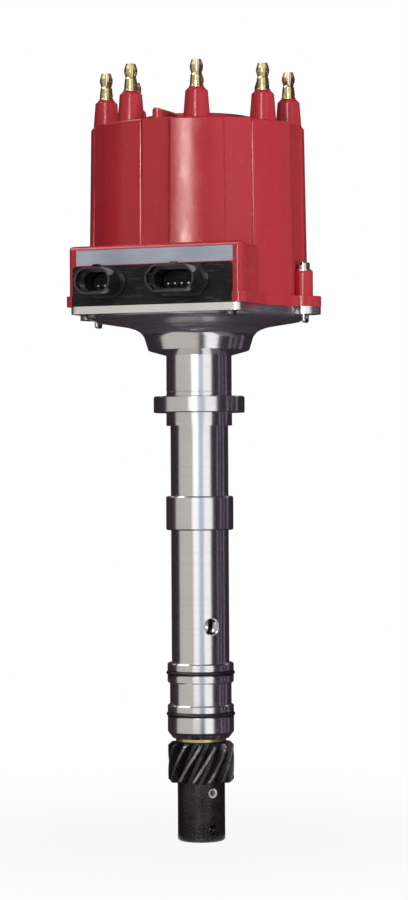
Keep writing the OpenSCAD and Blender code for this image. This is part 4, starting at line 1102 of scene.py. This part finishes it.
@dataclass
class Studio:
    """The floor, the background, the cards, the lamps and the camera."""

    floor_level: float
    view_azimuth: float = 23.0
    camera_distance: float = 1.288
    camera_level: float = -25.5 * MM
    camera_roll: float = -0.33
    sensor_width: float = 36.0
    lens: float = 105.6
    shift: tuple[float, float] = (0.0050, 0.0167)
    aim_level: float = -20.0 * MM
    plain_light: float = 0.30
    floor_size: float = 60.0
    floor_grey: float = 0.55
    shadow_near: float = 0.03
    shadow_far: float = 0.30
    glow_near: float = 0.90
    ring_sides: int = 180
    card_lift: float = 0.4 * MM
    card_step: float = 0.1 * MM
    walls: tuple[Card, ...] = (
        Card("card_right", 45, 145, DARK),
        Card("card_back", 145, 215, DARK),
        Card("card_left", 215, 270, DARK),
        Card("card_grey", 270, 330, GREY),
        Card("card_key", 344, 350, (38.0, 36.0, 33.5), low=0.18, high=0.72, inner=2.0, outer=2.0),
        Card("line_left", 328, 332, LINE_LEFT, inner=2.05, outer=2.05),
        Card("line_right_a", 74, 78, LINE_A, inner=2.05, outer=2.05),
        Card("line_right_b", 90, 92, LINE_B, inner=2.05, outer=2.05),
        Card("line_right_c", 108, 112, LINE_C, inner=2.05, outer=2.05),
        Card("card_blue", 355, 375, BLUE),
    )
    sectors: tuple[Card, ...] = (
        Card("floor_near", -180, 180, DARK, inner=0.018, outer=0.10),
        Card("floor_back", 90, 270, DARK, inner=0.10),
        Card("floor_grey", -90, -30, GREY, inner=0.10),
        Card("floor_centre", -30, 0, GREY, inner=0.10, outer=0.62),
        Card("floor_line", 0, 15, DARK, inner=0.10, outer=0.62),
        Card("floor_plum", 45, 90, PLUM, inner=0.10, outer=0.42),
        Card("floor_right", 45, 90, DARK, inner=0.42),
        Card("floor_blue", -5, 15, BLUE, inner=0.62),
        Card("floor_line_left", -32, -28, LINE_LEFT, inner=0.62, outer=2.05),
        Card("floor_line_a", 74, 78, LINE_A, inner=0.43, outer=2.05),
        Card("floor_line_b", 90, 92, LINE_B, inner=0.43, outer=2.05),
        Card("floor_line_c", 108, 112, LINE_C, inner=0.43, outer=2.05),
    )
    ceiling: tuple[Card, ...] = (
        Card("ceiling_light", -125, -45, (6.0, 6.0, 6.1), inner=0.62, outer=1.15),
        Card("ceiling_middle", -180, 180, DARK, inner=0.02, outer=0.62),
        Card("ceiling_side", 60, 235, DARK, inner=0.62, outer=1.8),
    )
    ceiling_level: float = 1.25
    lamps: tuple[Lamp, ...] = (
        Lamp("key", -16, 0.40, 1.7, 0.20, 1.2, 7.0, (1.0, 0.97, 0.93)),
        Lamp("front_fill", -25, 0.15, 2.0, 1.0, 1.4, 8.5),
        Lamp("right_fill", 52, 0.25, 1.8, 0.8, 1.3, 17.0),
        Lamp("left_fill", -95, 0.20, 1.9, 0.5, 1.4, 1.6),
        Lamp("back_fill", 180, 0.45, 2.0, 1.2, 1.2, 6.0),
        Lamp("overhead", 20, 1.7, 0.25, 1.4, 1.4, 6.0),
    )

    def direction(self, angle: float) -> Vector:
        """The level direction at an angle to the right of the camera, as seen from the object.

        Args:
            angle: The angle in degrees.

        Returns:
            A direction of length 1.
        """
        azimuth = math.radians(self.view_azimuth + angle)
        return Vector((math.sin(azimuth), -math.cos(azimuth), 0.0))

    def build_background(self) -> None:
        """White beyond the floor, and a plain level of light on the object."""
        graph = Graph(bpy.data.worlds.new("studio"), "OutputWorld")
        bpy.context.scene.world = graph.owner
        plain = graph.add("Background", Color=(self.plain_light,) * 3)
        graph.show(graph.seen_plainly(), plain, graph.add("Background", Color=WHITE))

    def build_floor(self) -> None:
        """A pale floor that the object stands on, whose own glow leaves a soft shadow only near the object."""
        bpy.ops.object.select_all(action="DESELECT")
        bpy.ops.mesh.primitive_plane_add(size=self.floor_size, location=(0.0, 0.0, self.floor_level))
        floor = bpy.context.object
        floor.name = "floor"
        graph = Graph(bpy.data.materials.new("pale_floor"), "OutputMaterial")
        away = graph.add("VectorMath", operation="LENGTH", Vector=graph.add("TexCoord").outputs["Object"])
        white = graph.remap(away.outputs["Value"], self.shadow_near, self.shadow_far, self.glow_near, 1.0)
        matt = graph.add("BsdfDiffuse", Color=(self.floor_grey,) * 3)
        share = graph.math("MULTIPLY", graph.seen_plainly(), white)
        graph.show(share, matt, graph.add("Emission", Color=WHITE))
        floor.data.materials.append(graph.owner)

    def build_card(self, card: Card, low: float, high: float) -> None:
        """Makes a card from a ring of faces, without those outside its angles.

        Args:
            card: What it covers.
            low: Level of its inner edge.
            high: Level of its outer edge.
        """
        bpy.ops.object.select_all(action="DESELECT")
        bpy.ops.mesh.primitive_circle_add(vertices=self.ring_sides, radius=card.inner, location=(0.0, 0.0, low),
                                          rotation=(0.0, 0.0, math.radians(self.view_azimuth)))
        wall = bpy.context.object
        wall.name = card.name
        bpy.ops.object.mode_set(mode="EDIT")
        bpy.ops.mesh.select_mode(type="VERT")
        bpy.ops.mesh.select_all(action="SELECT")
        bpy.ops.mesh.extrude_region_move(TRANSFORM_OT_translate={"value": (0.0, 0.0, high - low)})
        share = card.outer / card.inner
        bpy.ops.transform.resize(value=(share, share, 1.0), center_override=(0.0, 0.0, high))
        bpy.ops.mesh.select_mode(type="FACE")
        bpy.ops.mesh.select_all(action="DESELECT")
        bpy.ops.object.mode_set(mode="OBJECT")
        middle, half = (card.start + card.end) / 2, (card.end - card.start) / 2
        for face in wall.data.polygons:
            angle = math.degrees(math.atan2(face.center.x, -face.center.y))
            face.select = abs((angle - middle + 180) % 360 - 180) > half
        bpy.ops.object.mode_set(mode="EDIT")
        bpy.ops.mesh.delete(type="FACE")
        bpy.ops.object.mode_set(mode="OBJECT")
        graph = Graph(bpy.data.materials.new(card.name), "OutputMaterial")
        graph.put(graph.end, graph.add("Emission", Color=card.colour).outputs[0])
        wall.data.materials.append(graph.owner)
        wall.visible_camera = wall.visible_transmission = False
        wall.visible_diffuse = wall.visible_shadow = False

    def build_lamp(self, lamp: Lamp) -> None:
        """Hangs one soft box and points it at the middle of the object.

        Args:
            lamp: Its place, size and power.
        """
        data = bpy.data.lights.new(lamp.name, "AREA")
        data.shape = "RECTANGLE"
        data.size = lamp.width
        data.size_y = lamp.length
        data.energy = lamp.watts
        data.color = lamp.colour
        box = bpy.data.objects.new(lamp.name, data)
        box.location = self.direction(lamp.azimuth) * lamp.distance + Vector((0, 0, lamp.height))
        box.rotation_euler = (Vector((0, 0, self.aim_level)) - box.location).to_track_quat("-Z", "Y").to_euler()
        box.visible_glossy = False
        bpy.context.scene.collection.objects.link(box)

    def build_camera(self) -> None:
        """The photograph's view: level, a little to the right of the sockets, with upright lines kept."""
        data = bpy.data.cameras.new("camera")
        data.sensor_width = self.sensor_width
        data.lens = self.lens
        data.shift_x, data.shift_y = self.shift
        camera = bpy.data.objects.new("camera", data)
        camera.location = self.direction(0.0) * self.camera_distance + Vector((0, 0, self.camera_level))
        camera.rotation_euler = (math.radians(90.0), 0.0, math.radians(self.view_azimuth))
        camera.rotation_euler.rotate_axis("Z", math.radians(self.camera_roll))
        bpy.context.scene.collection.objects.link(camera)
        bpy.context.scene.camera = camera

    def build(self) -> None:
        """Sets up the whole studio."""
        bpy.context.scene.view_settings.view_transform = "Standard"
        self.build_camera()
        self.build_background()
        self.build_floor()
        for card in self.walls:
            self.build_card(card, card.low, card.high)
        for index, card in enumerate(self.sectors):
            level = self.floor_level + self.card_lift + index * self.card_step
            self.build_card(card, level, level)
        for card in self.ceiling:
            self.build_card(card, self.ceiling_level, self.ceiling_level)
        for lamp in self.lamps:
            self.build_lamp(lamp)


def clear_start_up_objects() -> None:
    """Removes what a new Blender file holds."""
    for piece in list(bpy.data.objects):
        bpy.data.objects.remove(piece)


def main() -> None:
    """Loads the frame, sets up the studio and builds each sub-assembly in order."""
    logging.basicConfig(level=logging.INFO, format="%(message)s")
    clear_start_up_objects()
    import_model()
    floor_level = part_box("drive_gear")[0].z
    Studio(floor_level).build()
    assemblies = (Housing(), Drive(), Pickup(), Rotor(), Cap(), Module(), Latches())
    for assembly in assemblies:
        LOG.info("building %s", type(assembly).__name__)
        assembly.build()


if __name__ == "__main__":
    main()
